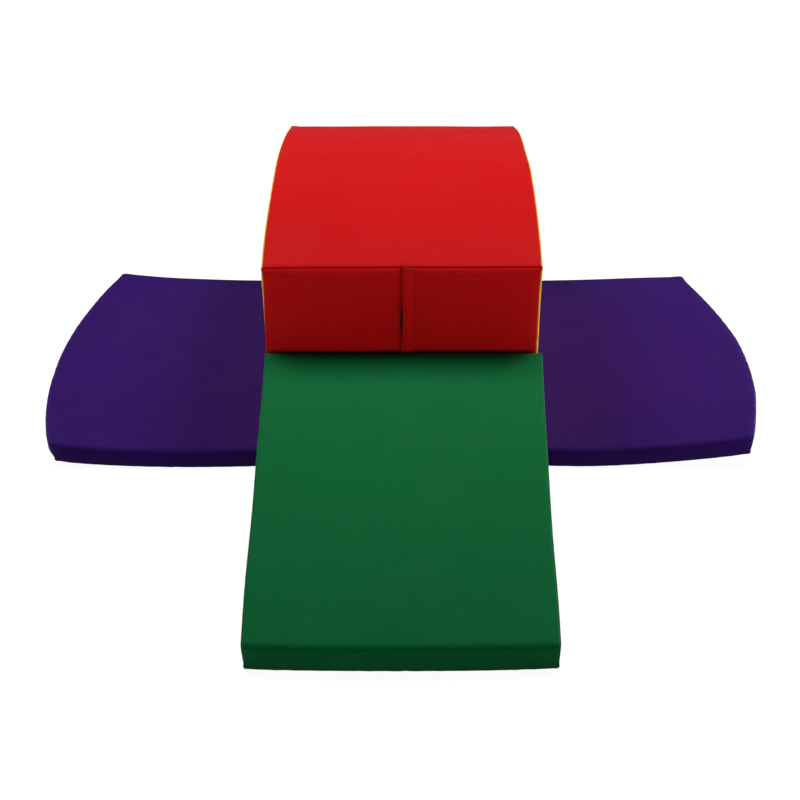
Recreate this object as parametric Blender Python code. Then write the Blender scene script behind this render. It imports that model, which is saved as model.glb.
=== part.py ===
"""Soft play foam climber: an arched block, a ramp and two side mats that lie against it.

Each of the four modules is a foam core in a sewn vinyl cover with a non-slip base cloth and a zip,
and strips of hook and loop hold the ramp and the mats to the block. Metres, +Z up, seen from the
front along +Y. The origin is on the floor, under the middle of the whole climber.
"""
import math

import bmesh
import bpy
from mathutils import Vector

# Block
BLOCK_WIDTH = 0.616
BLOCK_DEPTH = 0.914
BLOCK_FRONT_HEIGHT = 0.518
ARCH_RISE = 0.072
BLOCK_TOP_CROWN = 0.003
BLOCK_SIDE_CROWN = 0.006
BLOCK_BACK_CROWN = 0.004
BLOCK_FRONT_CROWN = 0.004

# Ramp
RAMP_RUN = 0.703
RAMP_BACK_HEIGHT = 0.308
RAMP_LIP_HEIGHT = 0.060
RAMP_TOP_CROWN = 0.004
RAMP_SIDE_CROWN = 0.003

# Side mats
MAT_LENGTH = 0.513
MAT_ARC = 0.068
MAT_THICKNESS = 0.050
MAT_TOP_CROWN = 0.004
MAT_CURL_START = 0.115
LEFT_MAT_FRONT_CURL = 0.021
LEFT_MAT_BACK_CURL = 0.036
RIGHT_MAT_FRONT_CURL = 0.044
RIGHT_MAT_BACK_CURL = 0.018

# Covers
COVER_THICKNESS = 0.0010
REST_GAP = 0.0004
FOLD_RADIUS = 0.013
LIP_CROWN = 0.003
# share of the fold radius by which a folded edge draws in, so that its middle lies on the round
FOLD_SHARE = 1 - math.sqrt(0.5)

# Zips: the tape lies behind the cover, the chain stands in a slot between two cover edges
ZIP_TAPE_WIDTH = 0.014
ZIP_TAPE_THICKNESS = 0.0006
ZIP_CHAIN_WIDTH = 0.0050
ZIP_CHAIN_THICKNESS = 0.0022
ZIP_CHAIN_PROUD = 0.0012
SLIDER_WALL = 0.0010
SLIDER_PLATE = 0.0012
SLIDER_LENGTH = 0.012
SLIDER_ROUNDING = 0.0004
STOP_LENGTH = 0.003
STOP_WALL = 0.0008
BLOCK_ZIP_X = 0.012
BLOCK_ZIP_FOOT = 0.050
BASE_ZIP_HEIGHT = 0.009
BASE_ZIP_END_MARGIN = 0.030

# Flap over the block's zip, sewn along its right edge and split level with the ramp
FLAP_EDGE_WIDTH = 0.0037
FLAP_SLOPE_WIDTH = 0.0047
FLAP_HEM_WIDTH = 0.007
FLAP_EDGE_LIFT = 0.0012
FLAP_FOOT = 0.045
FLAP_SPLIT_RISE = 0.004

# Hook and loop
STRIP_THICKNESS = 0.0020
RAMP_STRIP_WIDTH = 0.050
RAMP_STRIP_EDGE_MARGIN = 0.080
RAMP_STRIP_FOOT = 0.055
RAMP_STRIP_TOP_MARGIN = 0.030
MAT_STRIP_WIDTH = 0.018
MAT_STRIP_END_MARGIN = 0.057
MAT_STRIP_TOP_MARGIN = 0.005

# Grid of each soft surface
BLOCK_HALF_CELLS = 4
BLOCK_DEPTH_CELLS = 12
BLOCK_UPPER_CELLS = 3
RAMP_WIDTH_CELLS = 8
RAMP_RUN_CELLS = 8
MAT_LENGTH_CELLS = 8
MAT_DEPTH_CELLS = 12

# Fits that follow from the sizes above
BLOCK_LOWER_CELLS = BLOCK_HALF_CELLS // 2
SKIN = COVER_THICKNESS + REST_GAP
JOIN_GAP = 2 * STRIP_THICKNESS + 3 * REST_GAP
HALF_WIDTH = BLOCK_WIDTH / 2
WHOLE_DEPTH = RAMP_RUN + JOIN_GAP + BLOCK_DEPTH
BLOCK_FRONT_Y = RAMP_RUN + JOIN_GAP - WHOLE_DEPTH / 2 + (LIP_CROWN - BLOCK_BACK_CROWN) / 2
RAMP_FRONT_Y = BLOCK_FRONT_Y - JOIN_GAP - RAMP_RUN
MAT_INNER_X = HALF_WIDTH + JOIN_GAP
SLIDER_HALF_WIDTH = ZIP_CHAIN_WIDTH / 2 + REST_GAP + SLIDER_WALL
SLIDER_PROUD = ZIP_CHAIN_PROUD + REST_GAP + SLIDER_PLATE
ZIP_SLOT_HALF = SLIDER_HALF_WIDTH + REST_GAP
ZIP_GROOVE_HALF = ZIP_TAPE_WIDTH + 2 * REST_GAP
ZIP_GROOVE_DEPTH = SKIN + ZIP_TAPE_THICKNESS + REST_GAP
BLOCK_SLOT_LEFT = BLOCK_ZIP_X - ZIP_SLOT_HALF
BLOCK_SLOT_RIGHT = BLOCK_ZIP_X + ZIP_SLOT_HALF
BLOCK_ZIP_TOP = BLOCK_FRONT_HEIGHT - SKIN - REST_GAP
FLAP_FREE_X = BLOCK_SLOT_LEFT - FLAP_EDGE_WIDTH
FLAP_HEM_X = BLOCK_SLOT_RIGHT + FLAP_SLOPE_WIDTH
FLAP_SEWN_X = FLAP_HEM_X + FLAP_HEM_WIDTH
FLAP_SPLIT = RAMP_BACK_HEIGHT + FLAP_SPLIT_RISE
BLOCK_BAND_LEFT = BLOCK_ZIP_X - ZIP_GROOVE_HALF
BLOCK_BAND_RIGHT = max(BLOCK_ZIP_X + ZIP_GROOVE_HALF, FLAP_SEWN_X + REST_GAP)
RAMP_STRIP_HEIGHT = RAMP_BACK_HEIGHT - RAMP_STRIP_FOOT - RAMP_STRIP_TOP_MARGIN
RAMP_STRIP_SPREAD = HALF_WIDTH - RAMP_STRIP_EDGE_MARGIN - RAMP_STRIP_WIDTH / 2
BASE_GROOVE_TOP = BASE_ZIP_HEIGHT + ZIP_GROOVE_HALF
BASE_SLOT_TOP = BASE_ZIP_HEIGHT + ZIP_SLOT_HALF


def remove_everything():
    """Empty the file's scene."""
    for item in list(bpy.data.objects):
        bpy.data.objects.remove(item, do_unlink=True)


def make_material(name, colour, roughness, metallic=0.0):
    """One Principled material in a plain colour."""
    material = bpy.data.materials.new(name)
    material.use_nodes = True
    shader = material.node_tree.nodes["Principled BSDF"]
    shader.inputs["Base Color"].default_value = (*colour, 1.0)
    shader.inputs["Roughness"].default_value = roughness
    shader.inputs["Metallic"].default_value = metallic
    return material


def make_carrier(name, location):
    """An empty on a joint's axis, which the pieces of that moving body hang from."""
    carrier = bpy.data.objects.new(name, None)
    carrier.location = location
    bpy.context.scene.collection.objects.link(carrier)
    return carrier


def add_object(name, bm, material, carrier):
    """Turn a bmesh in world places into an object under its carrier, and return the object."""
    bmesh.ops.recalc_face_normals(bm, faces=bm.faces)
    bmesh.ops.translate(bm, verts=bm.verts, vec=-carrier.location)
    mesh = bpy.data.meshes.new(name)
    bm.to_mesh(mesh)
    bm.free()
    mesh.materials.append(material)
    piece = bpy.data.objects.new(name, mesh)
    piece.parent = carrier
    bpy.context.scene.collection.objects.link(piece)
    return piece


def grid_lines(low, high, inner):
    """The lines of one axis: both ends of the piece, and the shared lines that lie between them."""
    return [low] + [value for value in inner if low + REST_GAP < value < high - REST_GAP] + [high]


def even_lines(low, high, cells):
    """Evenly spaced lines from low to high, both ends included."""
    return [low + (high - low) * i / cells for i in range(cells + 1)]


def cell_solid(name, axes, place, material, carrier, keep=None):
    """A solid made of the cells of a grid, with each grid point moved by place.

    Every cell face splits along the same diagonal, so a cover's facets lie parallel to the core's.
    """
    counts = [len(lines) - 1 for lines in axes]
    keep = keep or (lambda cell: True)

    def filled(cell):
        inside = all(0 <= cell[a] < counts[a] for a in range(3))
        return inside and keep([(axes[a][cell[a]] + axes[a][cell[a] + 1]) / 2 for a in range(3)])

    bm = bmesh.new()
    points = {}

    def point(corner):
        if corner not in points:
            points[corner] = bm.verts.new(place(*[axes[a][corner[a]] for a in range(3)]))
        return points[corner]

    for i in range(counts[0]):
        for j in range(counts[1]):
            for k in range(counts[2]):
                cell = (i, j, k)
                if not filled(cell):
                    continue
                for axis in range(3):
                    for side in (0, 1):
                        beside = list(cell)
                        beside[axis] += 2 * side - 1
                        if not filled(tuple(beside)):
                            add_cell_face(bm, point, cell, axis, side)
    return add_object(name, bm, material, carrier)


def add_cell_face(bm, point, cell, axis, side):
    """Two triangles for one side of a cell, split from its lowest corner to its highest."""
    across, along = [a for a in range(3) if a != axis]
    corners = []
    for step_across, step_along in ((0, 0), (1, 0), (1, 1), (0, 1)):
        corner = list(cell)
        corner[axis] += side
        corner[across] += step_across
        corner[along] += step_along
        corners.append(point(tuple(corner)))
    bm.faces.new((corners[0], corners[1], corners[2]))
    bm.faces.new((corners[0], corners[2], corners[3]))


def clamp(value):
    """The value held between 0 and 1."""
    return min(max(value, 0.0), 1.0)


def bulge(share):
    """A round bump over shares from -1 to 1: 1 in the middle and 0 at both ends."""
    return max(0.0, 1 - share * share)


def bump(low, high, value):
    """A round bump between two places, 0 outside them."""
    return bulge(2 * (value - low) / (high - low) - 1)


def fold(depth_in, depth_down):
    """How far a folded edge draws in, at these depths inside its two faces."""
    near = bulge(clamp(depth_in / FOLD_RADIUS)) * bulge(clamp(depth_down / FOLD_RADIUS))
    return FOLD_SHARE * FOLD_RADIUS * near


def arch_height(y):
    """How far the block's top rises above its front edge, on a circle through both edges."""
    radius = (BLOCK_DEPTH ** 2 / 4 + ARCH_RISE ** 2) / (2 * ARCH_RISE)
    return math.sqrt(radius ** 2 - (y - BLOCK_DEPTH / 2) ** 2) - radius + ARCH_RISE


def block_place(x, y, z):
    """The block's own flat space, set on the floor, arched and crowned.

    z is a height at the front or back edge. The front crowns on both sides of the zip, above the
    ramp, and the sides crown above the mats.
    """
    raised = clamp((z - SKIN) / (BLOCK_FRONT_HEIGHT - 2 * SKIN))
    across = x / HALF_WIDTH
    along = 2 * y / BLOCK_DEPTH - 1
    height = z + raised * (arch_height(y) + BLOCK_TOP_CROWN * bulge(across) * bulge(along))
    side = BLOCK_SIDE_CROWN * across * bulge(along) * bump(MAT_THICKNESS, BLOCK_FRONT_HEIGHT, z)
    back = BLOCK_BACK_CROWN * clamp(along) * bulge(across) * bump(0, BLOCK_FRONT_HEIGHT, z)
    lobes = bump(-HALF_WIDTH, BLOCK_BAND_LEFT, x) + bump(BLOCK_BAND_RIGHT, HALF_WIDTH, x)
    front = BLOCK_FRONT_CROWN * clamp(-along) * lobes * bump(RAMP_BACK_HEIGHT, BLOCK_FRONT_HEIGHT, z)
    return Vector((x + side, BLOCK_FRONT_Y + y + back - front, height))


def ramp_place(x, y, z):
    """The ramp's own space, with y from its lip and z a height at its back, sloped and crowned."""
    drop = (RAMP_BACK_HEIGHT - RAMP_LIP_HEIGHT) * (1 - y / RAMP_RUN)
    raised = clamp((z - SKIN) / (RAMP_BACK_HEIGHT - 2 * SKIN))
    across = x / HALF_WIDTH
    along = 2 * y / RAMP_RUN - 1
    height = z - raised * drop
    down = RAMP_BACK_HEIGHT - drop - height
    side = RAMP_SIDE_CROWN * across * bulge(along) * bump(0, RAMP_BACK_HEIGHT, z)
    crown = RAMP_TOP_CROWN * raised * bulge(across) * bulge(along)
    lip = LIP_CROWN * clamp(-along) * bulge(across) * bump(0, RAMP_LIP_HEIGHT, height)
    drawn = fold(y, down)
    return Vector((x + side, RAMP_FRONT_Y + y - lip + drawn, height + crown - drawn))


def ramp_level(lip_height):
    """The height at the ramp's back that slopes down to this height at its lip."""
    share = (lip_height - SKIN) / (RAMP_LIP_HEIGHT - 2 * SKIN)
    return SKIN + share * (RAMP_BACK_HEIGHT - 2 * SKIN)


def mat_place(side):
    """The place function of one mat, with x out from its inner face: side is -1 left, 1 right.

    The outer end curls up off the floor, at its front and its back by different heights.
    """
    front_curl, back_curl = LEFT_MAT_FRONT_CURL, LEFT_MAT_BACK_CURL
    if side > 0:
        front_curl, back_curl = RIGHT_MAT_FRONT_CURL, RIGHT_MAT_BACK_CURL

    def place(x, y, z):
        raised = clamp((z - SKIN) / (MAT_THICKNESS - 2 * SKIN))
        along = 2 * y / BLOCK_DEPTH - 1
        outward = x + MAT_ARC * bulge(along) * clamp(x / (MAT_LENGTH - SKIN))
        crown = MAT_TOP_CROWN * raised * bulge(2 * x / MAT_LENGTH - 1) * bulge(along)
        curled = clamp((outward - MAT_CURL_START) / (MAT_LENGTH + MAT_ARC - MAT_CURL_START))
        curl = (front_curl + (back_curl - front_curl) * y / BLOCK_DEPTH) * curled ** 1.6
        drawn_front = fold(y, MAT_THICKNESS - z)
        drawn_back = fold(BLOCK_DEPTH - y, MAT_THICKNESS - z)
        edge = LIP_CROWN * along ** 3 * bulge(2 * x / MAT_LENGTH - 1) * bump(0, MAT_THICKNESS, z)
        depth = BLOCK_FRONT_Y + y + drawn_front - drawn_back + edge
        height = z + crown + curl - drawn_front - drawn_back
        return Vector((side * (MAT_INNER_X + outward), depth, height))
    return place


def plain_place(x, y, z):
    """World places as they are."""
    return Vector((x, y, z))


def box(name, low, high, material, carrier):
    """A plain box between two corners."""
    axes = [[low[a], high[a]] for a in range(3)]
    return cell_solid(name, axes, plain_place, material, carrier)


def build_zip(prefix, tape_names, at, start, end, tape_reach, carrier, slider_carrier, looks):
    """A closed zip along one line of a cover: two tapes, the chain and a slider at its end.

    at(run, across, depth) gives world places: along the zip, across it, and into the cover.
    """
    half_chain = ZIP_CHAIN_WIDTH / 2
    tape_depth = [SKIN, SKIN + ZIP_TAPE_THICKNESS]
    reaches = ([-tape_reach, -REST_GAP / 2], [REST_GAP / 2, ZIP_TAPE_WIDTH])
    for tape_name, reach in zip(tape_names, reaches):
        cell_solid(f"{prefix}_zip_tape_{tape_name}", [[start, end], reach, tape_depth], at,
                   looks["tape"], carrier)
    chain_depth = [-ZIP_CHAIN_PROUD, ZIP_CHAIN_THICKNESS - ZIP_CHAIN_PROUD]
    chain_start = start + STOP_LENGTH + REST_GAP
    chain_end = end - STOP_LENGTH - REST_GAP
    cell_solid(f"{prefix}_zip_chain", [[chain_start, chain_end], [-half_chain, half_chain], chain_depth],
               at, looks["chain"], carrier)
    build_slider(f"{prefix}_zip_slider", at, chain_end, slider_carrier, looks["slider"])
    return chain_start, chain_end


def build_slider(name, at, chain_end, carrier, material):
    """A saddle over the chain: an outer plate with a wall down each side of the chain."""
    inner_half = ZIP_CHAIN_WIDTH / 2 + REST_GAP
    plate_depth = -ZIP_CHAIN_PROUD - REST_GAP
    axes = [[chain_end - SLIDER_LENGTH, chain_end],
            [-SLIDER_HALF_WIDTH, -inner_half, inner_half, SLIDER_HALF_WIDTH],
            [-SLIDER_PROUD, plate_depth, COVER_THICKNESS - REST_GAP]]
    slider = cell_solid(name, axes, at, material, carrier,
                        keep=lambda cell: abs(cell[1]) > inner_half or cell[2] < plate_depth)
    rounding = slider.modifiers.new("rounding", "BEVEL")
    rounding.width = SLIDER_ROUNDING
    rounding.segments = 1
    rounding.limit_method = "ANGLE"
    return slider


def build_block(looks):
    """The arched block: the body that the ramp and the mats lean against."""
    root = make_carrier("block_frame", (0, BLOCK_FRONT_Y + BLOCK_DEPTH / 2, 0))
    xs = (even_lines(-HALF_WIDTH, BLOCK_BAND_LEFT, BLOCK_HALF_CELLS)
          + even_lines(BLOCK_BAND_RIGHT, HALF_WIDTH, BLOCK_HALF_CELLS))
    ys = even_lines(0, BLOCK_DEPTH, BLOCK_DEPTH_CELLS)
    zs = (even_lines(MAT_THICKNESS, RAMP_BACK_HEIGHT, BLOCK_LOWER_CELLS)
          + even_lines(RAMP_BACK_HEIGHT, BLOCK_FRONT_HEIGHT, BLOCK_UPPER_CELLS)[1:])
    wide = grid_lines(-HALF_WIDTH, HALF_WIDTH, xs)
    deep = grid_lines(0, BLOCK_DEPTH, ys)
    core_top = BLOCK_FRONT_HEIGHT - SKIN
    tall = grid_lines(SKIN, core_top, zs)
    core_x = grid_lines(-HALF_WIDTH + SKIN, HALF_WIDTH - SKIN, xs)
    core_y = grid_lines(SKIN, BLOCK_DEPTH - SKIN, [ZIP_GROOVE_DEPTH] + ys)

    def outside_groove(cell):
        in_band = BLOCK_BAND_LEFT < cell[0] < BLOCK_BAND_RIGHT
        return not (in_band and cell[1] < ZIP_GROOVE_DEPTH)

    cell_solid("block_foam_core", [core_x, core_y, tall], block_place, looks["foam"], root, outside_groove)
    top = [BLOCK_FRONT_HEIGHT - COVER_THICKNESS, BLOCK_FRONT_HEIGHT]
    cell_solid("block_top_cover", [wide, deep, top], block_place, looks["red"], root)
    front = [0, COVER_THICKNESS]
    cell_solid("block_front_cover_left", [grid_lines(-HALF_WIDTH, BLOCK_SLOT_LEFT, xs), front, tall],
               block_place, looks["red"], root)
    cell_solid("block_front_cover_right", [grid_lines(BLOCK_SLOT_RIGHT, HALF_WIDTH, xs), front, tall],
               block_place, looks["red"], root)
    back = [BLOCK_DEPTH - COVER_THICKNESS, BLOCK_DEPTH]
    cell_solid("block_back_cover", [wide, back, tall], block_place, looks["red"], root)
    side_y = grid_lines(SKIN, BLOCK_DEPTH - SKIN, ys)
    for name, outer in (("left", -HALF_WIDTH), ("right", HALF_WIDTH - COVER_THICKNESS)):
        cell_solid(f"block_side_cover_{name}", [[outer, outer + COVER_THICKNESS], side_y, tall],
                   block_place, looks["yellow"], root)
    box("block_base_cloth", (-HALF_WIDTH, BLOCK_FRONT_Y, 0),
        (HALF_WIDTH, BLOCK_FRONT_Y + BLOCK_DEPTH, COVER_THICKNESS), looks["base"], root)
    build_block_zip(root, looks)
    build_block_flap(root, looks)
    build_block_loops(root, looks)


def build_block_zip(root, looks):
    """The upright zip in the block's front, with its end stops and slider."""
    def at(run, across, depth):
        return Vector((BLOCK_ZIP_X + across, BLOCK_FRONT_Y + depth, run))

    slider_carrier = make_carrier("block_zip_slider_frame", at(BLOCK_ZIP_TOP, 0, 0))
    chain_start, chain_end = build_zip("block", ("left", "right"), at, BLOCK_ZIP_FOOT, BLOCK_ZIP_TOP,
                                       ZIP_TAPE_WIDTH, root, slider_carrier, looks)
    stop_half = ZIP_CHAIN_WIDTH / 2 + STOP_WALL
    stop_depth = [-ZIP_CHAIN_PROUD, ZIP_CHAIN_THICKNESS - ZIP_CHAIN_PROUD]
    stops = (("bottom", chain_start - REST_GAP - STOP_LENGTH), ("top", chain_end + REST_GAP))
    for name, start in stops:
        cell_solid(f"block_zip_stop_{name}",
                   [[start, start + STOP_LENGTH], [-stop_half, stop_half], stop_depth],
                   at, looks["slider"], root)


def flap_place(x, out, z):
    """A place on the flap: it lies flat at its hem and stands clear of the slider over the zip."""
    lift = FLAP_EDGE_LIFT if x < BLOCK_SLOT_LEFT else SLIDER_PROUD
    if x >= FLAP_HEM_X:
        lift = 0.0
    return Vector((x, BLOCK_FRONT_Y - out - lift, z))


def build_block_flap(root, looks):
    """The flap over the zip: its lower part stays behind the ramp and its upper part swings open."""
    outer = REST_GAP + COVER_THICKNESS
    hinge = make_carrier("block_zip_flap_frame", (FLAP_SEWN_X, BLOCK_FRONT_Y - outer, FLAP_SPLIT))
    lines = [FLAP_FREE_X, BLOCK_SLOT_LEFT, BLOCK_SLOT_RIGHT, FLAP_HEM_X, FLAP_SEWN_X]
    parts = (("block_zip_flap", FLAP_SPLIT + REST_GAP / 2, BLOCK_ZIP_TOP, hinge),
             ("block_zip_flap_foot", FLAP_FOOT, FLAP_SPLIT - REST_GAP / 2, root))
    for name, low, high, carrier in parts:
        cell_solid(name, [lines, [REST_GAP, outer], [low, high]], flap_place, looks["red"], carrier)


def build_block_loops(root, looks):
    """Loop strips on the block: two upright ones for the ramp and a level one for each mat."""
    for name, side in (("left", -1), ("right", 1)):
        low = side * RAMP_STRIP_SPREAD - RAMP_STRIP_WIDTH / 2
        face = BLOCK_FRONT_Y - REST_GAP
        box(f"block_ramp_loop_{name}", (low, face - STRIP_THICKNESS, RAMP_STRIP_FOOT),
            (low + RAMP_STRIP_WIDTH, face, RAMP_STRIP_FOOT + RAMP_STRIP_HEIGHT), looks["strip"], root)
        inner = side * (HALF_WIDTH + REST_GAP)
        outer = side * (HALF_WIDTH + REST_GAP + STRIP_THICKNESS)
        low_y, high_y, low_z, high_z = mat_strip_span()
        box(f"block_mat_loop_{name}", (inner, low_y, low_z), (outer, high_y, high_z), looks["strip"], root)


def mat_strip_span():
    """Where the mats' strips lie along the block and up its side."""
    low_y = BLOCK_FRONT_Y + MAT_STRIP_END_MARGIN
    high_y = BLOCK_FRONT_Y + BLOCK_DEPTH - MAT_STRIP_END_MARGIN
    high_z = MAT_THICKNESS - MAT_STRIP_TOP_MARGIN
    return low_y, high_y, high_z - MAT_STRIP_WIDTH, high_z


def build_ramp(looks):
    """The ramp in front: a wedge whose top cover folds down over the lip."""
    back_y = RAMP_FRONT_Y + RAMP_RUN
    carrier = make_carrier("ramp_frame", (0, back_y, 0))
    xs = even_lines(-HALF_WIDTH, HALF_WIDTH, RAMP_WIDTH_CELLS)
    ys = [FOLD_RADIUS] + even_lines(0, RAMP_RUN, RAMP_RUN_CELLS)[1:]
    fold_level = ramp_level(RAMP_LIP_HEIGHT - FOLD_RADIUS)
    zs = [BASE_SLOT_TOP, BASE_GROOVE_TOP, ramp_level(RAMP_LIP_HEIGHT / 2), fold_level]
    core_top = RAMP_BACK_HEIGHT - SKIN
    groove_y = RAMP_RUN - ZIP_GROOVE_DEPTH

    def outside_groove(cell):
        return not (cell[1] > groove_y and cell[2] < BASE_GROOVE_TOP)

    core = [grid_lines(-HALF_WIDTH + SKIN, HALF_WIDTH - SKIN, xs),
            grid_lines(SKIN, RAMP_RUN - SKIN, sorted(ys + [groove_y])),
            grid_lines(SKIN, core_top, zs)]
    cell_solid("ramp_foam_core", core, ramp_place, looks["foam"], carrier, outside_groove)

    top_under = RAMP_BACK_HEIGHT - COVER_THICKNESS
    top = [grid_lines(-HALF_WIDTH, HALF_WIDTH, xs), grid_lines(0, RAMP_RUN, sorted(ys + [COVER_THICKNESS])),
           grid_lines(SKIN, RAMP_BACK_HEIGHT, zs + [top_under])]
    cell_solid("ramp_top_cover", top, ramp_place, looks["green"], carrier,
               keep=lambda cell: cell[1] < COVER_THICKNESS or cell[2] > top_under)
    side_y = grid_lines(SKIN, RAMP_RUN - SKIN, ys)
    for name, outer in (("left", -HALF_WIDTH), ("right", HALF_WIDTH - COVER_THICKNESS)):
        side = [[outer, outer + COVER_THICKNESS], side_y, grid_lines(SKIN, core_top, zs)]
        cell_solid(f"ramp_side_cover_{name}", side, ramp_place, looks["green"], carrier)
    back = [grid_lines(-HALF_WIDTH, HALF_WIDTH, xs), [RAMP_RUN - COVER_THICKNESS, RAMP_RUN],
            grid_lines(BASE_SLOT_TOP, core_top, zs)]
    cell_solid("ramp_back_cover", back, ramp_place, looks["green"], carrier)
    box("ramp_base_cloth", (-HALF_WIDTH, RAMP_FRONT_Y, 0), (HALF_WIDTH, back_y, COVER_THICKNESS),
        looks["base"], carrier)

    def at(run, across, depth):
        return Vector((run, back_y - depth, BASE_ZIP_HEIGHT + across))

    zip_end = HALF_WIDTH - BASE_ZIP_END_MARGIN
    slider_carrier = make_carrier("ramp_zip_slider_frame", at(zip_end, 0, 0))
    build_zip("ramp", ("lower", "upper"), at, -zip_end, zip_end, BASE_ZIP_HEIGHT - SKIN,
              carrier, slider_carrier, looks)
    for name, side in (("left", -1), ("right", 1)):
        low = side * RAMP_STRIP_SPREAD - RAMP_STRIP_WIDTH / 2
        face = back_y + REST_GAP
        box(f"ramp_hook_{name}", (low, face, RAMP_STRIP_FOOT),
            (low + RAMP_STRIP_WIDTH, face + STRIP_THICKNESS, RAMP_STRIP_FOOT + RAMP_STRIP_HEIGHT),
            looks["strip"], carrier)


def build_mat(name, side, looks):
    """One side mat, with a round outer end, whose top cover folds down at its front and back."""
    place = mat_place(side)
    middle_y = BLOCK_FRONT_Y + BLOCK_DEPTH / 2
    carrier = make_carrier(f"{name}_frame", (side * MAT_INNER_X, middle_y, 0))
    xs = even_lines(0, MAT_LENGTH, MAT_LENGTH_CELLS)
    ys = sorted(even_lines(0, BLOCK_DEPTH, MAT_DEPTH_CELLS) + [FOLD_RADIUS, BLOCK_DEPTH - FOLD_RADIUS])
    zs = sorted([BASE_GROOVE_TOP, MAT_THICKNESS - FOLD_RADIUS])
    core_top = MAT_THICKNESS - SKIN

    def outside_groove(cell):
        return not (cell[0] < ZIP_GROOVE_DEPTH and cell[2] < BASE_GROOVE_TOP)

    core = [grid_lines(SKIN, MAT_LENGTH - SKIN, [ZIP_GROOVE_DEPTH] + xs),
            grid_lines(SKIN, BLOCK_DEPTH - SKIN, ys), grid_lines(SKIN, core_top, zs)]
    cell_solid(f"{name}_foam_core", core, place, looks["foam"], carrier, outside_groove)

    top_under = MAT_THICKNESS - COVER_THICKNESS
    top_y = sorted(ys + [COVER_THICKNESS, BLOCK_DEPTH - COVER_THICKNESS])
    top = [grid_lines(0, MAT_LENGTH, xs), grid_lines(0, BLOCK_DEPTH, top_y),
           grid_lines(SKIN, MAT_THICKNESS, zs + [top_under])]

    def in_top(cell):
        in_lip = cell[1] < COVER_THICKNESS or cell[1] > BLOCK_DEPTH - COVER_THICKNESS
        return in_lip or cell[2] > top_under

    cell_solid(f"{name}_top_cover", top, place, looks["purple"], carrier, in_top)
    side_y = grid_lines(SKIN, BLOCK_DEPTH - SKIN, ys)
    arc = [[MAT_LENGTH - COVER_THICKNESS, MAT_LENGTH], side_y, grid_lines(SKIN, core_top, zs)]
    cell_solid(f"{name}_arc_cover", arc, place, looks["purple"], carrier)
    inner = [[0, COVER_THICKNESS], side_y, grid_lines(BASE_SLOT_TOP, core_top, zs)]
    cell_solid(f"{name}_inner_cover", inner, place, looks["purple"], carrier)
    base = [grid_lines(0, MAT_LENGTH, xs), grid_lines(0, BLOCK_DEPTH, ys), [0, COVER_THICKNESS]]
    cell_solid(f"{name}_base_cloth", base, place, looks["base"], carrier)

    def at(run, across, depth):
        return Vector((side * (MAT_INNER_X + depth), run, BASE_ZIP_HEIGHT + across))

    zip_start = BLOCK_FRONT_Y + BASE_ZIP_END_MARGIN
    zip_end = BLOCK_FRONT_Y + BLOCK_DEPTH - BASE_ZIP_END_MARGIN
    slider_carrier = make_carrier(f"{name}_zip_slider_frame", at(zip_end, 0, 0))
    build_zip(name, ("lower", "upper"), at, zip_start, zip_end, BASE_ZIP_HEIGHT - SKIN,
              carrier, slider_carrier, looks)
    low_y, high_y, low_z, high_z = mat_strip_span()
    face = side * (MAT_INNER_X - REST_GAP)
    box(f"{name}_hook", (face, low_y, low_z), (face - side * STRIP_THICKNESS, high_y, high_z),
        looks["strip"], carrier)


def main():
    remove_everything()
    looks = {
        "red": make_material("red_vinyl", (0.58, 0.022, 0.026), 0.45),
        "yellow": make_material("yellow_vinyl", (0.90, 0.58, 0.03), 0.45),
        "green": make_material("green_vinyl", (0.010, 0.125, 0.045), 0.45),
        "purple": make_material("purple_vinyl", (0.040, 0.012, 0.125), 0.45),
        "base": make_material("non_slip_base", (0.02, 0.02, 0.02), 0.85),
        "foam": make_material("foam", (0.80, 0.74, 0.52), 0.95),
        "tape": make_material("zip_tape", (0.05, 0.05, 0.05), 0.80),
        "chain": make_material("zip_nylon", (0.06, 0.06, 0.06), 0.40),
        "slider": make_material("zip_metal", (0.45, 0.45, 0.46), 0.35, 1.0),
        "strip": make_material("hook_and_loop", (0.03, 0.03, 0.03), 0.90),
    }
    build_block(looks)
    build_ramp(looks)
    build_mat("mat_left", -1, looks)
    build_mat("mat_right", 1, looks)


main()
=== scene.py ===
"""Soft play foam climber in sewn vinyl: an arched block, a ramp and two floor mats.

Every cover panel is a surface worked out on a grid between its seams. It dips and rolls in at each
seam, carries a lip of seam allowance, is pulled into ears where three seams meet, and then settles
on its module's crowned foam. Metres, +Z up, seen from the ramp's end along +Y.
"""
import logging
import math
from dataclasses import dataclass
from enum import Enum
from typing import Callable, Sequence

import bmesh
import bpy
import numpy as np
from mathutils import Matrix, Vector


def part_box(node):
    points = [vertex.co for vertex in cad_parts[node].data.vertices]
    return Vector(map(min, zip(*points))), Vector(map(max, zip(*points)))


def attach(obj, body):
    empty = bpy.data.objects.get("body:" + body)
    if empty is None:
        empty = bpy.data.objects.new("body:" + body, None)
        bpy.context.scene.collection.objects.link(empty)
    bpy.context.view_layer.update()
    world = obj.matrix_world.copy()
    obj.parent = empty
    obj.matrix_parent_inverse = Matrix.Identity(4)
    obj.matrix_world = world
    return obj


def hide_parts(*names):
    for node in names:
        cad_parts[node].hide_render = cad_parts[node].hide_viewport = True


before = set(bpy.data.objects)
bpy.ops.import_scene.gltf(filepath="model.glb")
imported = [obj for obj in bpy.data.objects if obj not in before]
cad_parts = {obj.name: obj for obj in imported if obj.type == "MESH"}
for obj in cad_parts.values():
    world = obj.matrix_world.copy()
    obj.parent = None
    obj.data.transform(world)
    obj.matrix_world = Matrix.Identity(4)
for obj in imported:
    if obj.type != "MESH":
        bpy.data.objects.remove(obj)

Array = np.ndarray
Place = tuple[float, float, float]
Colour = tuple[float, float, float]
Shape = tuple[Array, list[Array]]
Settle = Callable[[Array], Array]
log = logging.getLogger("climber")

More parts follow.
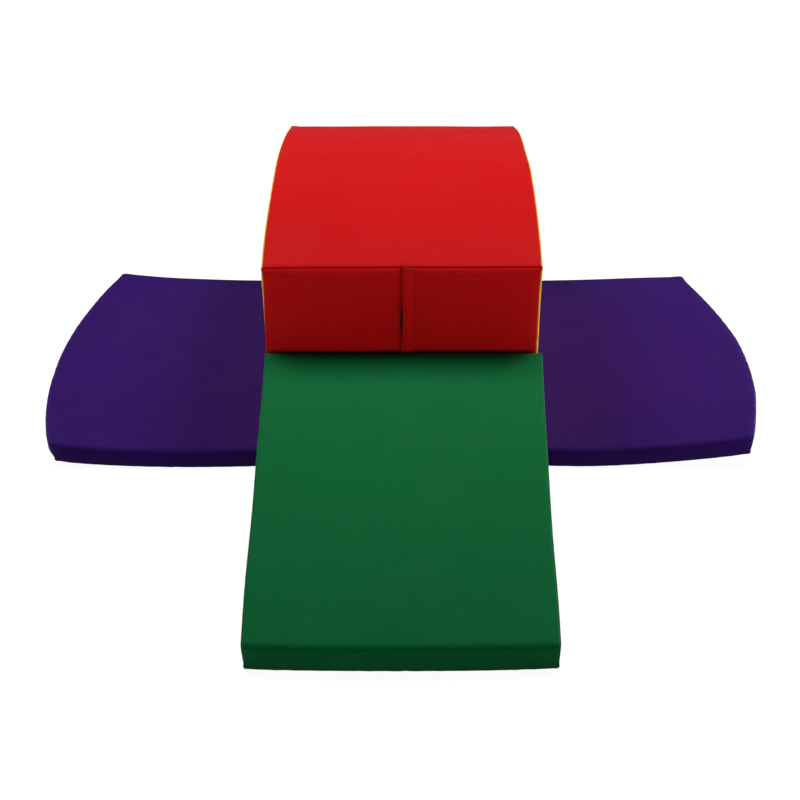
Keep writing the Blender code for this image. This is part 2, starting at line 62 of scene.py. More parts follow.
TIGHT = 1e-9
FULL_TURN = 2 * math.pi


class Slot(Enum):
    """The record's material slots."""

    RED = "red_vinyl"
    YELLOW = "yellow_vinyl"
    GREEN = "green_vinyl"
    PURPLE = "purple_vinyl"
    BASE = "non_slip_base"
    FOAM = "foam"
    TAPE = "zip_tape"
    CHAIN = "zip_nylon"
    METAL = "zip_metal"
    STRIP = "hook_and_loop"


class Side(Enum):
    """Left or right as seen from the ramp's end, with its sign along X."""

    LEFT = -1
    RIGHT = 1

    @property
    def word(self) -> str:
        """The side's name in a piece's name."""
        return self.name.lower()


# Small sums on arrays


def bulge(share: Array) -> Array:
    """A round bump over shares from -1 to 1: one less the square, and 0 past both ends."""
    return np.clip(1 - share * share, 0, None)


def bump(low: float, high: float, value: Array) -> Array:
    """The same bump between two places."""
    return bulge(2 * (value - low) / (high - low) - 1)


def unit(vectors: Array) -> Array:
    """Vectors at length 1, along their last axis."""
    return vectors / np.maximum(np.linalg.norm(vectors, axis=-1, keepdims=True), TIGHT)


def triple(x: Array, y: Array, z: Array) -> Array:
    """Three arrays, broadcast together and stacked as points."""
    return np.stack(np.broadcast_arrays(x, y, z), axis=-1).astype(float)


def nearest(*distances: Array) -> Array:
    """One smooth distance to the nearest of several seams.

    The formula is the inverse cube root of the sum of inverse cubes, so it is 0 on every seam and has
    no crease where two seams are equally near.
    """
    total = sum(np.maximum(d, TIGHT) ** -3.0 for d in distances)
    return np.where(total > TIGHT ** -2.0, 0.0, total ** (-1 / 3))


def edge_distance(first: Array, second: Array) -> Array:
    """The smooth distance to the four edges of a rectangular grid."""
    a, b = first[:, None], second[None]
    return nearest(a - first[0], first[-1] - a, b - second[0], second[-1] - b)


def from_run(points: Array, start: Place, end: Place) -> tuple[Array, Array]:
    """Where points lie beside a straight run: their share of the way along it, and how far off it."""
    start = np.array(start)
    run = np.array(end) - start
    along = np.clip(((points - start) @ run) / max(float(run @ run), TIGHT), 0, 1)
    return along, np.linalg.norm(points - start - along[..., None] * run, axis=-1)


def line_distance(points: Array, line: Array) -> Array:
    """How far points (..., 2) are from a chain of straight segments (k, 2)."""
    flat = points.reshape(-1, 1, 2)
    start, step = line[None, :-1], np.diff(line, axis=0)[None]
    along = ((flat - start) * step).sum(-1) / np.maximum((step * step).sum(-1), TIGHT ** 2)
    foot = start + np.clip(along, 0, 1)[..., None] * step
    return np.linalg.norm(flat - foot, axis=-1).min(axis=1).reshape(points.shape[:-1])


def distances(line: Array) -> Array:
    """How far along a chain of points each one lies."""
    return np.concatenate([[0], np.cumsum(np.linalg.norm(np.diff(line, axis=0), axis=1))])


def resample(line: Array, places: Array, values: Array | None = None) -> Array:
    """Points of a chain at these distances along it, or other values that its points carry."""
    run, values = distances(line), line if values is None else values
    return np.stack([np.interp(places, run, column) for column in values.T], axis=1)


def arc(centre: Sequence[float], radius: float, start: float, end: float, count: int = 7) -> Array:
    """Points of an arc in a plane, by angles in radians."""
    angles = np.linspace(start, end, count)
    return np.stack([centre[0] + radius * np.cos(angles), centre[1] + radius * np.sin(angles)], axis=1)


def coons(bottom: Array, top: Array, left: Array, right: Array, u: Array, v: Array) -> Array:
    """A patch between four edges, as (along bottom, along left, coordinates).

    The formula is the ruled patch from bottom to top, plus the one from left to right, less the
    bilinear patch through the four corners.
    """
    u, v = u[:, None, None], v[None, :, None]
    across = (1 - v) * bottom[:, None] + v * top[:, None]
    along = (1 - u) * left[None] + u * right[None]
    corners = ((1 - u) * ((1 - v) * bottom[0] + v * top[0]) + u * ((1 - v) * bottom[-1] + v * top[-1]))
    return across + along - corners


def side_patch(foot: Array, top: Array, near: Array, far: Array, along: Array, up: Array) -> Array:
    """A patch in a plane between four chains, each walked at even shares of its length."""
    edges = [resample(edge, shares * distances(edge)[-1])
             for edge, shares in ((foot, along), (top, along), (near, up), (far, up))]
    return coons(*edges, along, up)


# Meshes


def grid_faces(rows: int, columns: int) -> Array:
    """The corner numbers of every square of a grid whose points are numbered row by row."""
    corner = (np.arange(rows - 1)[:, None] * columns + np.arange(columns - 1)[None]).ravel()
    return np.stack([corner, corner + columns, corner + columns + 1, corner + 1], axis=1)


def add_mesh(name: str, shape: Shape, material: bpy.types.Material, masks: dict[str, Array] | None = None,
             sharp_from: float | None = None, outward: bool = False) -> bpy.types.Object:
    """Makes one object from arrays.

    Args:
        name: The piece's name.
        shape: Places (n, 3) in the frame, and arrays of corner numbers, each (k, corners).
        material: What it is made of.
        masks: Values at each point that its material reads.
        sharp_from: The angle in degrees past which an edge stays sharp, or None for smooth all over.
        outward: Whether the faces' directions are worked out again, for closed shells.

    Returns:
        The new object, at the origin.
    """
    points, faces = shape
    mesh = bpy.data.meshes.new(name)
    mesh.vertices.add(len(points))
    mesh.vertices.foreach_set("co", np.ascontiguousarray(points, np.float32).ravel())
    corners = np.concatenate([f.ravel() for f in faces]).astype(np.int32)
    counts = np.concatenate([np.full(len(f), f.shape[1]) for f in faces])
    mesh.loops.add(len(corners))
    mesh.loops.foreach_set("vertex_index", corners)
    mesh.polygons.add(len(counts))
    mesh.polygons.foreach_set("loop_start", np.concatenate([[0], np.cumsum(counts)[:-1]]).astype(np.int32))
    mesh.update(calc_edges=True)
    mesh.validate()
    if outward:
        bm = bmesh.new()
        bm.from_mesh(mesh)
        bmesh.ops.recalc_face_normals(bm, faces=bm.faces)
        bm.to_mesh(mesh)
        bm.free()
    for mask, values in (masks or {}).items():
        attribute = mesh.attributes.new(mask, "FLOAT", "POINT")
        attribute.data.foreach_set("value", np.ascontiguousarray(values, np.float32).ravel())
    mesh.shade_smooth()
    if sharp_from is not None:
        mesh.set_sharp_from_angle(angle=math.radians(sharp_from))
    mesh.materials.append(material)
    piece = bpy.data.objects.new(name, mesh)
    bpy.context.scene.collection.objects.link(piece)
    return piece


def thicken(piece: bpy.types.Object, thickness: float, offset: float) -> None:
    """Gives a sheet its cloth's thickness: inwards at offset -1, and to both sides at 0."""
    cloth = piece.modifiers.new("cloth", "SOLIDIFY")
    cloth.thickness = thickness
    cloth.offset = offset


def report(piece: bpy.types.Object, body: str, slot: Slot, *nodes: str) -> bpy.types.Object:
    """Puts a finished piece on its body, hides the solids that it stands for, and logs it."""
    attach(piece, body)
    if nodes:
        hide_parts(*nodes)
    log.info("%s on %s: %d faces", piece.name, body, len(piece.data.polygons))
    return piece


def rounded_box(low: Sequence[float], high: Sequence[float], radius: float, step: float) -> Shape:
    """A closed box with round edges and corners.

    Each point of the plain box is moved to lie radius away from the smaller box that is radius inside.

    Returns:
        The points (n, 3) and the faces.
    """
    low, high = np.asarray(low, float), np.asarray(high, float)
    near = radius * np.array([0.0, 0.15, 0.35, 0.6, 1.0])
    lines = []
    for a, b in zip(low, high):
        inner = np.linspace(a + radius, b - radius, max(2, int(round((b - a) / step))))
        lines.append(np.unique(np.round(np.concatenate([a + near, inner, b - near]), 9)))
    points, faces, start = [], [], 0
    for axis in range(3):
        first, second = [k for k in range(3) if k != axis]
        a, b = np.meshgrid(lines[first], lines[second], indexing="ij")
        for end, place in ((0, low[axis]), (1, high[axis])):
            sheet = np.empty((*a.shape, 3))
            sheet[..., first], sheet[..., second], sheet[..., axis] = a, b, place
            squares = grid_faces(*a.shape) + start
            points.append(sheet.reshape(-1, 3))
            faces.append(squares if (end == 1) == (axis != 1) else squares[:, ::-1])
            start += a.size
    points, number = np.unique(np.round(np.concatenate(points), 9), axis=0, return_inverse=True)
    core = np.clip(points, low + radius, high - radius)
    return core + unit(points - core) * radius, [number.reshape(-1)[np.concatenate(faces)]]


def closed_rings(rings: Array) -> Shape:
    """Closed walls through rows of rings (pieces, rings, points, 3), with a fan over both end rings."""
    count, length, sides = rings.shape[:3]
    centres = rings[:, [0, -1]].mean(axis=2)
    points = np.concatenate([rings.reshape(count, -1, 3), centres], axis=1)
    k, j = np.meshgrid(np.arange(length - 1), np.arange(sides), indexing="ij")
    after = (j + 1) % sides
    walls = np.stack([k * sides + j, k * sides + after, (k + 1) * sides + after,
                      (k + 1) * sides + j], axis=-1).reshape(-1, 4)
    j, after, last = j[0], after[0], (length - 1) * sides
    fans = np.concatenate([np.stack([after, j, np.full(sides, length * sides)], axis=1),
                           np.stack([last + j, last + after, np.full(sides, length * sides + 1)], axis=1)])
    offset = (np.arange(count) * points.shape[1])[:, None, None]
    faces = [(walls[None] + offset).reshape(-1, 4), (fans[None] + offset).reshape(-1, 3)]
    return points.reshape(-1, 3), faces


def tubes(centres: Array, wide: Array, high: Array, sides: int) -> Shape:
    """Closed tubes, one for each row, with oval rings.

    A ring's point is its centre, plus wide times the cosine and high times the sine of its angle.

    Args:
        centres: Ring centres (tubes, rings, 3).
        wide: One half axis of each ring, as vectors of the same shape.
        high: The other half axis of each ring.
        sides: How many points a ring has.

    Returns:
        The points and the faces.
    """
    angles = (np.arange(sides) * FULL_TURN / sides)[:, None]
    return closed_rings(centres[:, :, None] + wide[:, :, None] * np.cos(angles)
                        + high[:, :, None] * np.sin(angles))


# Sewn covers


@dataclass(frozen=True)
class Seam:
    """The shape of a cover beside a seam, in metres."""

    roll: float = 0.0016
    soft: float = 0.0014
    reach: float = 0.018
    lip: float = 0.006
    cloth: float = 0.0009
    finest: float = 0.0002

    @property
    def inset(self) -> float:
        """How far the seam lies inside both faces that meet at it."""
        return self.roll + self.soft

    def dip(self, distance: Array, share: Array | float = 1.0) -> Array:
        """How deep the cover lies: a quarter round at the seam, plus a parabola that fades out at reach.

        Args:
            distance: How far each place is from the seam.
            share: How much of the parabola there is, as it is pressed flat at the floor.

        Returns:
            The depth at each place.
        """
        rolled = np.clip(1 - distance / self.roll, 0, 1)
        softened = np.clip(1 - distance / self.reach, 0, 1)
        return self.roll * (1 - np.sqrt(1 - rolled ** 2)) + self.soft * share * softened ** 2

    def lines(self, low: float, high: float, step: float) -> Array:
        """Grid lines from seam to seam: close together beside both, and about a step apart between."""
        near_shares = np.array([0.0, 0.005, 0.016, 0.034, 0.06, 0.09, 0.14, 0.21, 0.31, 0.44, 0.6, 0.79])
        near = near_shares * min(self.reach, (high - low) / 2.2)
        edge = near[-1] + (near[-1] - near[-2])
        inner = np.linspace(low + edge, high - edge, max(2, int(round((high - low - 2 * edge) / step)) + 1))
        return np.concatenate([low + near, inner, (high - near)[::-1]])

    def sweep(self, line: Array, ways: Array, step: float) -> tuple[Array, Array, Array]:
        """Grid lines along a profile, with extra ones where it bends so that no bend is cut short.

        Args:
            line: The profile's points.
            ways: The way into the foam at each of them.
            step: How far apart the lines lie away from seams.

        Returns:
            The lines' distances along the profile, and the points and the ways into the foam there.
        """
        places = distances(line)
        runs = np.sort(np.concatenate([self.lines(0, places[-1], step), places]))
        runs = runs[np.concatenate([[True], np.diff(runs) > self.finest])]
        return runs, resample(line, runs), unit(resample(line, runs, ways))


@dataclass(frozen=True)
class SewnLine:
    """A straight run of seam: both ends, and the direction in which its puckers stand out."""

    start: Place
    end: Place
    out: Place


@dataclass(frozen=True)
class Push:
    """A place where the covers stand out or are drawn in: an ear at a corner, or a run of seam."""

    start: Place
    out: Place
    size: float
    width: float = 0.007
    end: Place | None = None

    def move(self, points: Array) -> Array:
        """How far points move: a bell curve of the distance, times a bump along the run."""
        along, away = from_run(points, self.start, self.end or self.start)
        swell = bulge(2 * along - 1) if self.end else 1.0
        return (self.size * swell * np.exp(-(away / self.width) ** 2))[..., None] * unit(np.array(self.out))


@dataclass
class Relief:
    """The small unevenness of one module's covers, the same for all the pieces on it."""

    lines: Sequence[SewnLine]
    pushes: Sequence[Push]
    seed: int
    foot_drop: float = 0.0
    foot_reach: float = 0.009
    pucker: float = 0.00042
    pucker_reach: float = 0.011
    pucker_waves: Place = (0.046, 0.029, 0.0185)
    swell_wave: float = 0.23
    waviness: float = 0.0007
    slow_waves: int = 5
    slow_lengths: tuple[float, float] = (0.16, 0.42)
    slow_from: float = 0.04

    def __post_init__(self) -> None:
        """Draws every phase once, in a fixed order."""
        draw, count = np.random.default_rng(self.seed), self.slow_waves
        self.phases = draw.uniform(0, FULL_TURN, (len(self.lines), len(self.pucker_waves)))
        self.directions = unit(draw.normal(size=(count, 3)))
        self.lengths = draw.uniform(*self.slow_lengths, count)
        self.shifts = draw.uniform(0, FULL_TURN, count)
        self.sways = draw.normal(size=(count, 3)) * self.waviness / 2

    def __call__(self, points: Array) -> Array:
        """Moves points of the flat module.

        The foot seams are pressed down to the floor as a bell curve of the height. Puckers are sines
        along each seam that fade with the distance to it as an exponential. The slow waviness is a sum
        of plane waves that fades near the floor.
        """
        moved = points.copy()
        moved[..., 2] -= self.foot_drop * np.exp(-(points[..., 2] / self.foot_reach) ** 2)
        for line, phases in zip(self.lines, self.phases):
            along, away = from_run(points, line.start, line.end)
            run = along * math.dist(line.start, line.end)
            wave = sum(np.sin(FULL_TURN * run / length + phase) / (k + 1)
                       for k, (length, phase) in enumerate(zip(self.pucker_waves, phases)))
            swell = 0.6 + 0.4 * np.sin(FULL_TURN * run / self.swell_wave + phases[0])
            fade = np.exp(-away / self.pucker_reach) * bulge(2 * along - 1) ** 0.3
            moved += (self.pucker * swell * wave * fade)[..., None] * unit(np.array(line.out))
        for push in self.pushes:
            moved += push.move(points)
        standing = np.clip(points[..., 2] / self.slow_from, 0, 1)
        for direction, length, shift, sway in zip(self.directions, self.lengths, self.shifts, self.sways):
            wave = standing * np.sin(FULL_TURN * (points @ direction) / length + shift)
            moved += wave[..., None] * sway
        return moved


@dataclass
class Shell:
    """The sewn cover of one module: what its panels and its foam core share."""

    prefix: str
    middle: Place
    seam: Seam
    relief: Relief
    settle: Settle
    looks: "Looks"
    floor_level: float = 0.0002
    full_height: float = 0.03
    foam_under: float = 0.0002
    foam_step: float = 0.03

    def panel(self, name: str, base: Array, inward: Array | Place, distance: Array, slot: Slot, node: str,
              extra: Array | float = 0.0) -> None:
        """Makes one cover panel, riding on the module's body.

        Args:
            name: The panel's name after the module's.
            base: Its flat surface between the seams (rows, columns, 3).
            inward: The direction into the foam, alone or at each place.
            distance: How far each place is from the nearest seam.
            slot: The record's slot for its cloth.
            node: The solid that it stands for, without the module's name.
            extra: A further dip at each place, as at an edge that is folded back.
        """
        seam = self.seam
        inward = np.broadcast_to(np.asarray(inward, float), base.shape)
        level = np.abs(inward[..., 2])
        standing = np.clip(base[..., 2] / self.full_height, 0, 1) * (1 - level) + level
        points = base + inward * (seam.dip(distance, standing) + extra)[..., None]
        points, distance = self.with_lips(points, base, inward, distance)
        points = self.on_floor(points, self.floor_level)
        faces = grid_faces(*points.shape[:2])
        points = points.reshape(-1, 3)
        corners = points[faces]
        normal = np.cross(corners[:, 2] - corners[:, 0], corners[:, 3] - corners[:, 1])
        if (normal * (corners.mean(axis=1) - np.array(self.middle))).sum() < 0:
            faces = faces[:, ::-1]
        piece = add_mesh(f"{self.prefix}_{name}", (points, [faces]), self.looks.parts[slot],
                         {"seam": distance})
        thicken(piece, seam.cloth, -1.0)
        report(piece, self.prefix, slot, f"{self.prefix}_{node}")
        size, area = self.cut(self.settle(np.array(base)))

    def on_floor(self, points: Array, lowest: float) -> Array:
        """Gives points the module's unevenness, settles them, and keeps them above the floor."""
        points = self.settle(self.relief(points))
        points[..., 2] = np.maximum(points[..., 2], lowest)
        return points

    def cut(self, settled: Array) -> tuple[tuple[float, float], float]:
        """A sheet's flat size, from its longest row and column and the allowance, and its area.

        The area is half the length of the cross product of each square's diagonals.
        """
        allowance = 2 * self.seam.lip
        rows = np.linalg.norm(np.diff(settled, axis=0), axis=-1).sum(axis=0).max()
        columns = np.linalg.norm(np.diff(settled, axis=1), axis=-1).sum(axis=1).max()
        one, two = settled[1:, 1:] - settled[:-1, :-1], settled[1:, :-1] - settled[:-1, 1:]
        area = np.linalg.norm(np.cross(one, two), axis=-1).sum() / 2
        return (float(rows) + allowance, float(columns) + allowance), float(area)

    def with_lips(self, points: Array, base: Array, inward: Array, distance: Array) -> tuple[Array, Array]:
        """Adds a ring of seam allowance round a panel, turned in under both panels of the seam.

        Args:
            points: The dipped panel.
            base: The flat panel.
            inward: The way into the foam at each place.
            distance: How far each place is from the nearest seam.

        Returns:
            The points and the distances with the ring added, where the distance is 0.
        """
        for axis in (0, 1):
            ends = []
            for edge, beside in ((0, 1), (-1, -2)):
                border, flat, inner, into = (np.take(array, [place], axis) for array, place in
                                             ((points, edge), (base, edge), (base, beside), (inward, edge)))
                ends.append(border + self.seam.lip * unit(0.8 * unit(inner - flat) + into))
            points = np.concatenate([ends[0], points, ends[1]], axis)
            margin = [(1, 1) if k == axis else (0, 0) for k in range(3)]
            base, inward = np.pad(base, margin, "edge"), np.pad(inward, margin, "edge")
            distance = np.pad(distance, margin[:2])
        return points, distance

    def foam(self, low: Place, high: Place, radius: float, shape: Settle | None = None) -> None:
        """Makes the module's foam core as a crowned closed form just inside its covers.

        Args:
            low: The plain core's lowest corner.
            high: Its highest corner.
            radius: How round its edges are.
            shape: What cuts the plain block to the module's form, where it isn't a box.
        """
        points, faces = rounded_box(low, high, radius, self.foam_step)
        points = self.on_floor(shape(points) if shape else points,
                               self.floor_level + self.seam.cloth + self.foam_under)
        piece = add_mesh(f"{self.prefix}_foam", (points, faces), self.looks.parts[Slot.FOAM], outward=True)
        report(piece, self.prefix, Slot.FOAM, f"{self.prefix}_foam_core")


# Threads, zips and strips


@dataclass(frozen=True)
class Thread:
    """A row of lockstitch, in metres."""

    pitch: float = 0.0042
    length: float = 0.0032
    radius: float = 0.00030
    height: float = 0.00022
    sides: int = 5

    def row(self, line: Array, out: Array) -> Shape:
        """Stitches along a chain of points: each one is a small arched tube that dips in at both ends.

        The height above the cloth is a parabola, and the radius shrinks at the ends as a half round.
        """
        length = distances(line)[-1]
        count = max(1, int(length / self.pitch))
        middle = (np.arange(count) + 0.5) * length / count
        share = np.array([-1.0, -0.7, 0.0, 0.7, 1.0])
        centre = resample(line, middle)
        ahead = unit(resample(line, middle + self.length / 4) - resample(line, middle - self.length / 4))
        out = np.broadcast_to(unit(np.asarray(out, float)), centre.shape)
        across = unit(np.cross(ahead, out))
        rings = (centre[:, None] + ahead[:, None] * (share * self.length / 2)[:, None]
                 + out[:, None] * (self.height * (1.3 * (1 - share ** 2) - 0.3))[:, None])
        thick = self.radius * np.sqrt(1.02 - share ** 2)[:, None]
        return tubes(rings, across[:, None] * thick, out[:, None] * thick, self.sides)


def sew(name: str, body: str, slot: Slot, looks: "Looks", rows: Sequence[tuple[Array, Array]],
        thread: Thread = Thread()) -> None:
    """Makes one piece from rows of stitches, each a chain of points and the way out of the cloth."""
    points, quads, fans, start = [], [], [], 0
    for line, out in rows:
        made, (walls, ends) = thread.row(line, out)
        points.append(made)
        quads.append(walls + start)
        fans.append(ends + start)
        start += len(made)
    shape = np.concatenate(points), [np.concatenate(quads), np.concatenate(fans)]
    report(add_mesh(name, shape, looks.threads[slot], outward=True), body, slot)


# A tooth from its head to its root: reach across, half width and half height, as shares of the zip's.
TOOTH = ((1.0, 0.22, 0.55), (0.96, 0.32, 0.80), (0.25, 0.30, 0.90), (-0.08, 0.45, 1.0), (-0.24, 0.36, 0.85),
         (-0.28, 0.12, 0.30))
# A slider from its front: share of its length, and its half width and height as shares of the zip's.
SLIDER = ((0.0, 0.62, 0.60), (0.03, 0.86, 0.70), (0.12, 1.0, 0.74), (0.3, 0.97, 0.75), (0.55, 0.86, 0.75),
          (0.8, 0.80, 0.74), (0.95, 0.70, 0.68), (1.0, 0.48, 0.58))
# A stop along its length: share of the length, and of its full size.
STOP = ((0.0, 0.70), (0.08, 0.93), (0.3, 1.0), (0.7, 1.0), (0.92, 0.93), (1.0, 0.70))


@dataclass
class Zip:
    """A closed zip along a straight line: place(run, across, depth) gives points in the frame."""

    body: str
    start: float
    end: float
    tape_names: tuple[str, str]
    tape_widths: tuple[float, float]
    place: Callable[[Array, Array, Array], Array]
    looks: "Looks"
    stops: bool = False
    tooth_pitch: float = 0.0026
    tooth_reach: float = 0.0031
    tooth_height: float = 0.0009
    tooth_sides: int = 6
    chain_middle: float = -0.0001
    tape_grid: tuple[int, int] = (90, 15)
    tape_gap: float = 0.0002
    tape_depth: float = 0.0017
    tape_thickness: float = 0.0006
    ripple: float = 0.00006
    ripple_wave: float = 0.021
    stop_length: float = 0.0030
    stop_half: float = 0.0033
    stop_proud: float = 0.0012
    stop_sunk: float = 0.0010
    slider_length: float = 0.0120
    slider_half: float = 0.0038
    slider_proud: float = 0.0028
    slider_sunk: float = 0.0005
    slider_gap: float = 0.0004
    bail_half: float = 0.0009
    bail_thick: float = 0.00035
    bail_grid: tuple[int, int] = (11, 10)
    ring_sides: int = 24
    ring_power: float = 0.55

    def build(self) -> None:
        """Makes the tapes, the teeth, the slider and its bail, and the stops."""
        self.build_tapes()
        self.build_teeth()
        self.build_slider()
        if self.stops:
            self.build_stops()

    def build_tapes(self) -> None:
        """Two woven tapes behind the covers, each with a beaded edge beside the teeth."""
        length, width = self.tape_grid
        run = np.linspace(self.start, self.end - self.stop_length, length)[:, None]
        ripple = self.ripple * np.sin(run * FULL_TURN / self.ripple_wave)
        share = np.linspace(0, 1, width)[None]
        bead = 0.25 * self.tape_thickness * np.exp(-((share - 0.06) / 0.05) ** 2)
        depth = self.tape_depth - self.tape_thickness / 2 - bead + ripple
        for name, reach, sign in zip(self.tape_names, self.tape_widths, (-1, 1)):
            off_edge = (reach - self.tape_gap) * share
            points = self.place(run, sign * (self.tape_gap + off_edge), depth).reshape(-1, 3)
            piece = add_mesh(f"{self.body}_tape_{name}", (points, [grid_faces(length, width)]),
                             self.looks.parts[Slot.TAPE], {"seam": np.tile(off_edge, (length, 1))})
            thicken(piece, self.tape_thickness, 0.0)
            report(piece, self.body, Slot.TAPE, f"{self.body}_zip_tape_{name}")

    def build_teeth(self) -> None:
        """Two rows of moulded teeth that mesh: each tooth is a short oval bar with a swollen head."""
        margin = self.stop_length + self.tooth_pitch / 2
        count = int((self.end - self.start - 2 * margin) / self.tooth_pitch * 2)
        run = self.start + margin + np.arange(count) * self.tooth_pitch / 2
        side = np.where(np.arange(count) % 2, 1.0, -1.0)
        sizes = np.array([self.tooth_reach, self.tooth_pitch, self.tooth_height])
        reach, wide, high = (np.array(TOOTH) * sizes).T
        run, across = np.broadcast_arrays(run[:, None], side[:, None] * reach)
        depth = np.full(across.shape, self.chain_middle)
        centre = self.place(run, across, depth)
        along = self.place(run + 1, across, depth) - centre
        out = self.place(run, across, depth - 1) - centre
        shape = tubes(centre, along * wide[:, None], out * high[:, None], self.tooth_sides)
        piece = add_mesh(f"{self.body}_teeth", shape, self.looks.parts[Slot.CHAIN], outward=True)
        report(piece, self.body, Slot.CHAIN, f"{self.body}_zip_chain")

    def loft(self, name: str, body: str, runs: Array, halves: Array, outs: Array, sink: float) -> None:
        """A closed metal form along the zip whose rings are squared ovals between sink and out."""
        def squared(value: Array) -> Array:
            """A wave with flatter tops and steeper sides."""
            return np.sign(value) * np.abs(value) ** self.ring_power

        angles = (np.arange(self.ring_sides) * FULL_TURN / self.ring_sides)[None]
        across = halves[:, None] * squared(np.cos(angles))
        depth = ((sink - outs) / 2)[:, None] - ((sink + outs) / 2)[:, None] * squared(np.sin(angles))
        rings = self.place(np.broadcast_to(runs[:, None], across.shape), across, depth)
        piece = add_mesh(f"{self.body}_{name}", closed_rings(rings[None]), self.looks.parts[Slot.METAL],
                         sharp_from=40, outward=True)
        report(piece, body, Slot.METAL, f"{self.body}_zip_{name}")

    def build_slider(self) -> None:
        """The slider: a waisted plate over the teeth, and a small bail bridge on it without a pull."""
        body = f"{self.body}_zip_slider"
        end = self.end - self.stop_length - self.slider_gap
        share, waist, top = np.array(SLIDER).T
        self.loft("slider", body, end - self.slider_length * share, self.slider_half * waist,
                  self.slider_proud * top, self.slider_sunk)
        count, sides = self.bail_grid
        turn = np.linspace(0, math.pi, count)
        run = end - self.slider_length * (0.5 - 0.27 * np.cos(turn))
        rise = self.slider_proud * (0.62 + 0.18 * np.sin(turn))
        centre = self.place(run, np.zeros(count), -rise)
        across = self.place(run, np.ones(count), -rise) - centre
        upright = np.cross(unit(np.gradient(centre, axis=0)), across)
        shape = tubes(centre[None], across[None] * self.bail_half, upright[None] * self.bail_thick, sides)
        bail = add_mesh(f"{self.body}_bail", shape, self.looks.parts[Slot.METAL], outward=True)
        report(bail, body, Slot.METAL)

    def build_stops(self) -> None:
        """A pressed metal stop at each end of the teeth."""
        share, full = np.array(STOP).T
        for name, low in (("bottom", self.start), ("top", self.end - self.stop_length)):
            self.loft(f"stop_{name}", self.body, low + self.stop_length * share, self.stop_half * full,
                      self.stop_proud * full, self.stop_sunk)


@dataclass(frozen=True)
class Strip:
    """A strip of hook or loop tape in its solid's place: a rounded slab with a sewn border.

    Its face points along the axis across its thickness, the way that way says, as 1 or -1.
    """

    body: str
    node: str
    axis: int
    way: int
    radius: float = 0.0007
    step: float = 0.008
    inset: float = 0.0032
    stitch_height: float = 0.0001

    @property
    def name(self) -> str:
        """The slab's name, from its solid's."""
        return self.node.replace("loop", "loop_tape").replace("hook", "hook_tape")

    def build(self, looks: "Looks") -> None:
        """Makes the slab and its stitches."""
        low, high = (np.array(corner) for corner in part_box(self.node))
        slab = add_mesh(self.name, rounded_box(low, high, self.radius, self.step), looks.parts[Slot.STRIP],
                        outward=True)
        report(slab, self.body, Slot.STRIP, self.node)
        sides = [k for k in range(3) if k != self.axis]
        corners = np.full((5, 3), high[self.axis] if self.way > 0 else low[self.axis])
        for side, turns in zip(sides, ([0, 1, 1, 0, 0], [0, 0, 1, 1, 0])):
            corners[:, side] = np.array([low[side] + self.inset, high[side] - self.inset])[turns]
        out = np.zeros(3)
        out[self.axis] = self.way
        rows = [(corners[k:k + 2], out) for k in range(4)]
        sew(f"{self.name}_stitches", self.body, Slot.STRIP, looks, rows, Thread(height=self.stitch_height))


# Finishes


@dataclass(frozen=True)
class Value:
    """A socket's value, so that sums on it are written as usual."""

    nodes: "Nodes"
    socket: bpy.types.NodeSocket

    def __add__(self, other: object) -> "Value":
        """The sum."""
        return self.nodes.math("ADD", self, other)

    def __sub__(self, other: object) -> "Value":
        """What is left when the other is taken away."""
        return self.nodes.math("SUBTRACT", self, other)

    def __rsub__(self, other: object) -> "Value":
        """What is left when this is taken away from a number."""
        return self.nodes.math("SUBTRACT", other, self)

    def __mul__(self, other: object) -> "Value":
        """The product."""
        return self.nodes.math("MULTIPLY", self, other)

    def __truediv__(self, other: object) -> "Value":
        """The quotient."""
        return self.nodes.math("DIVIDE", self, other)


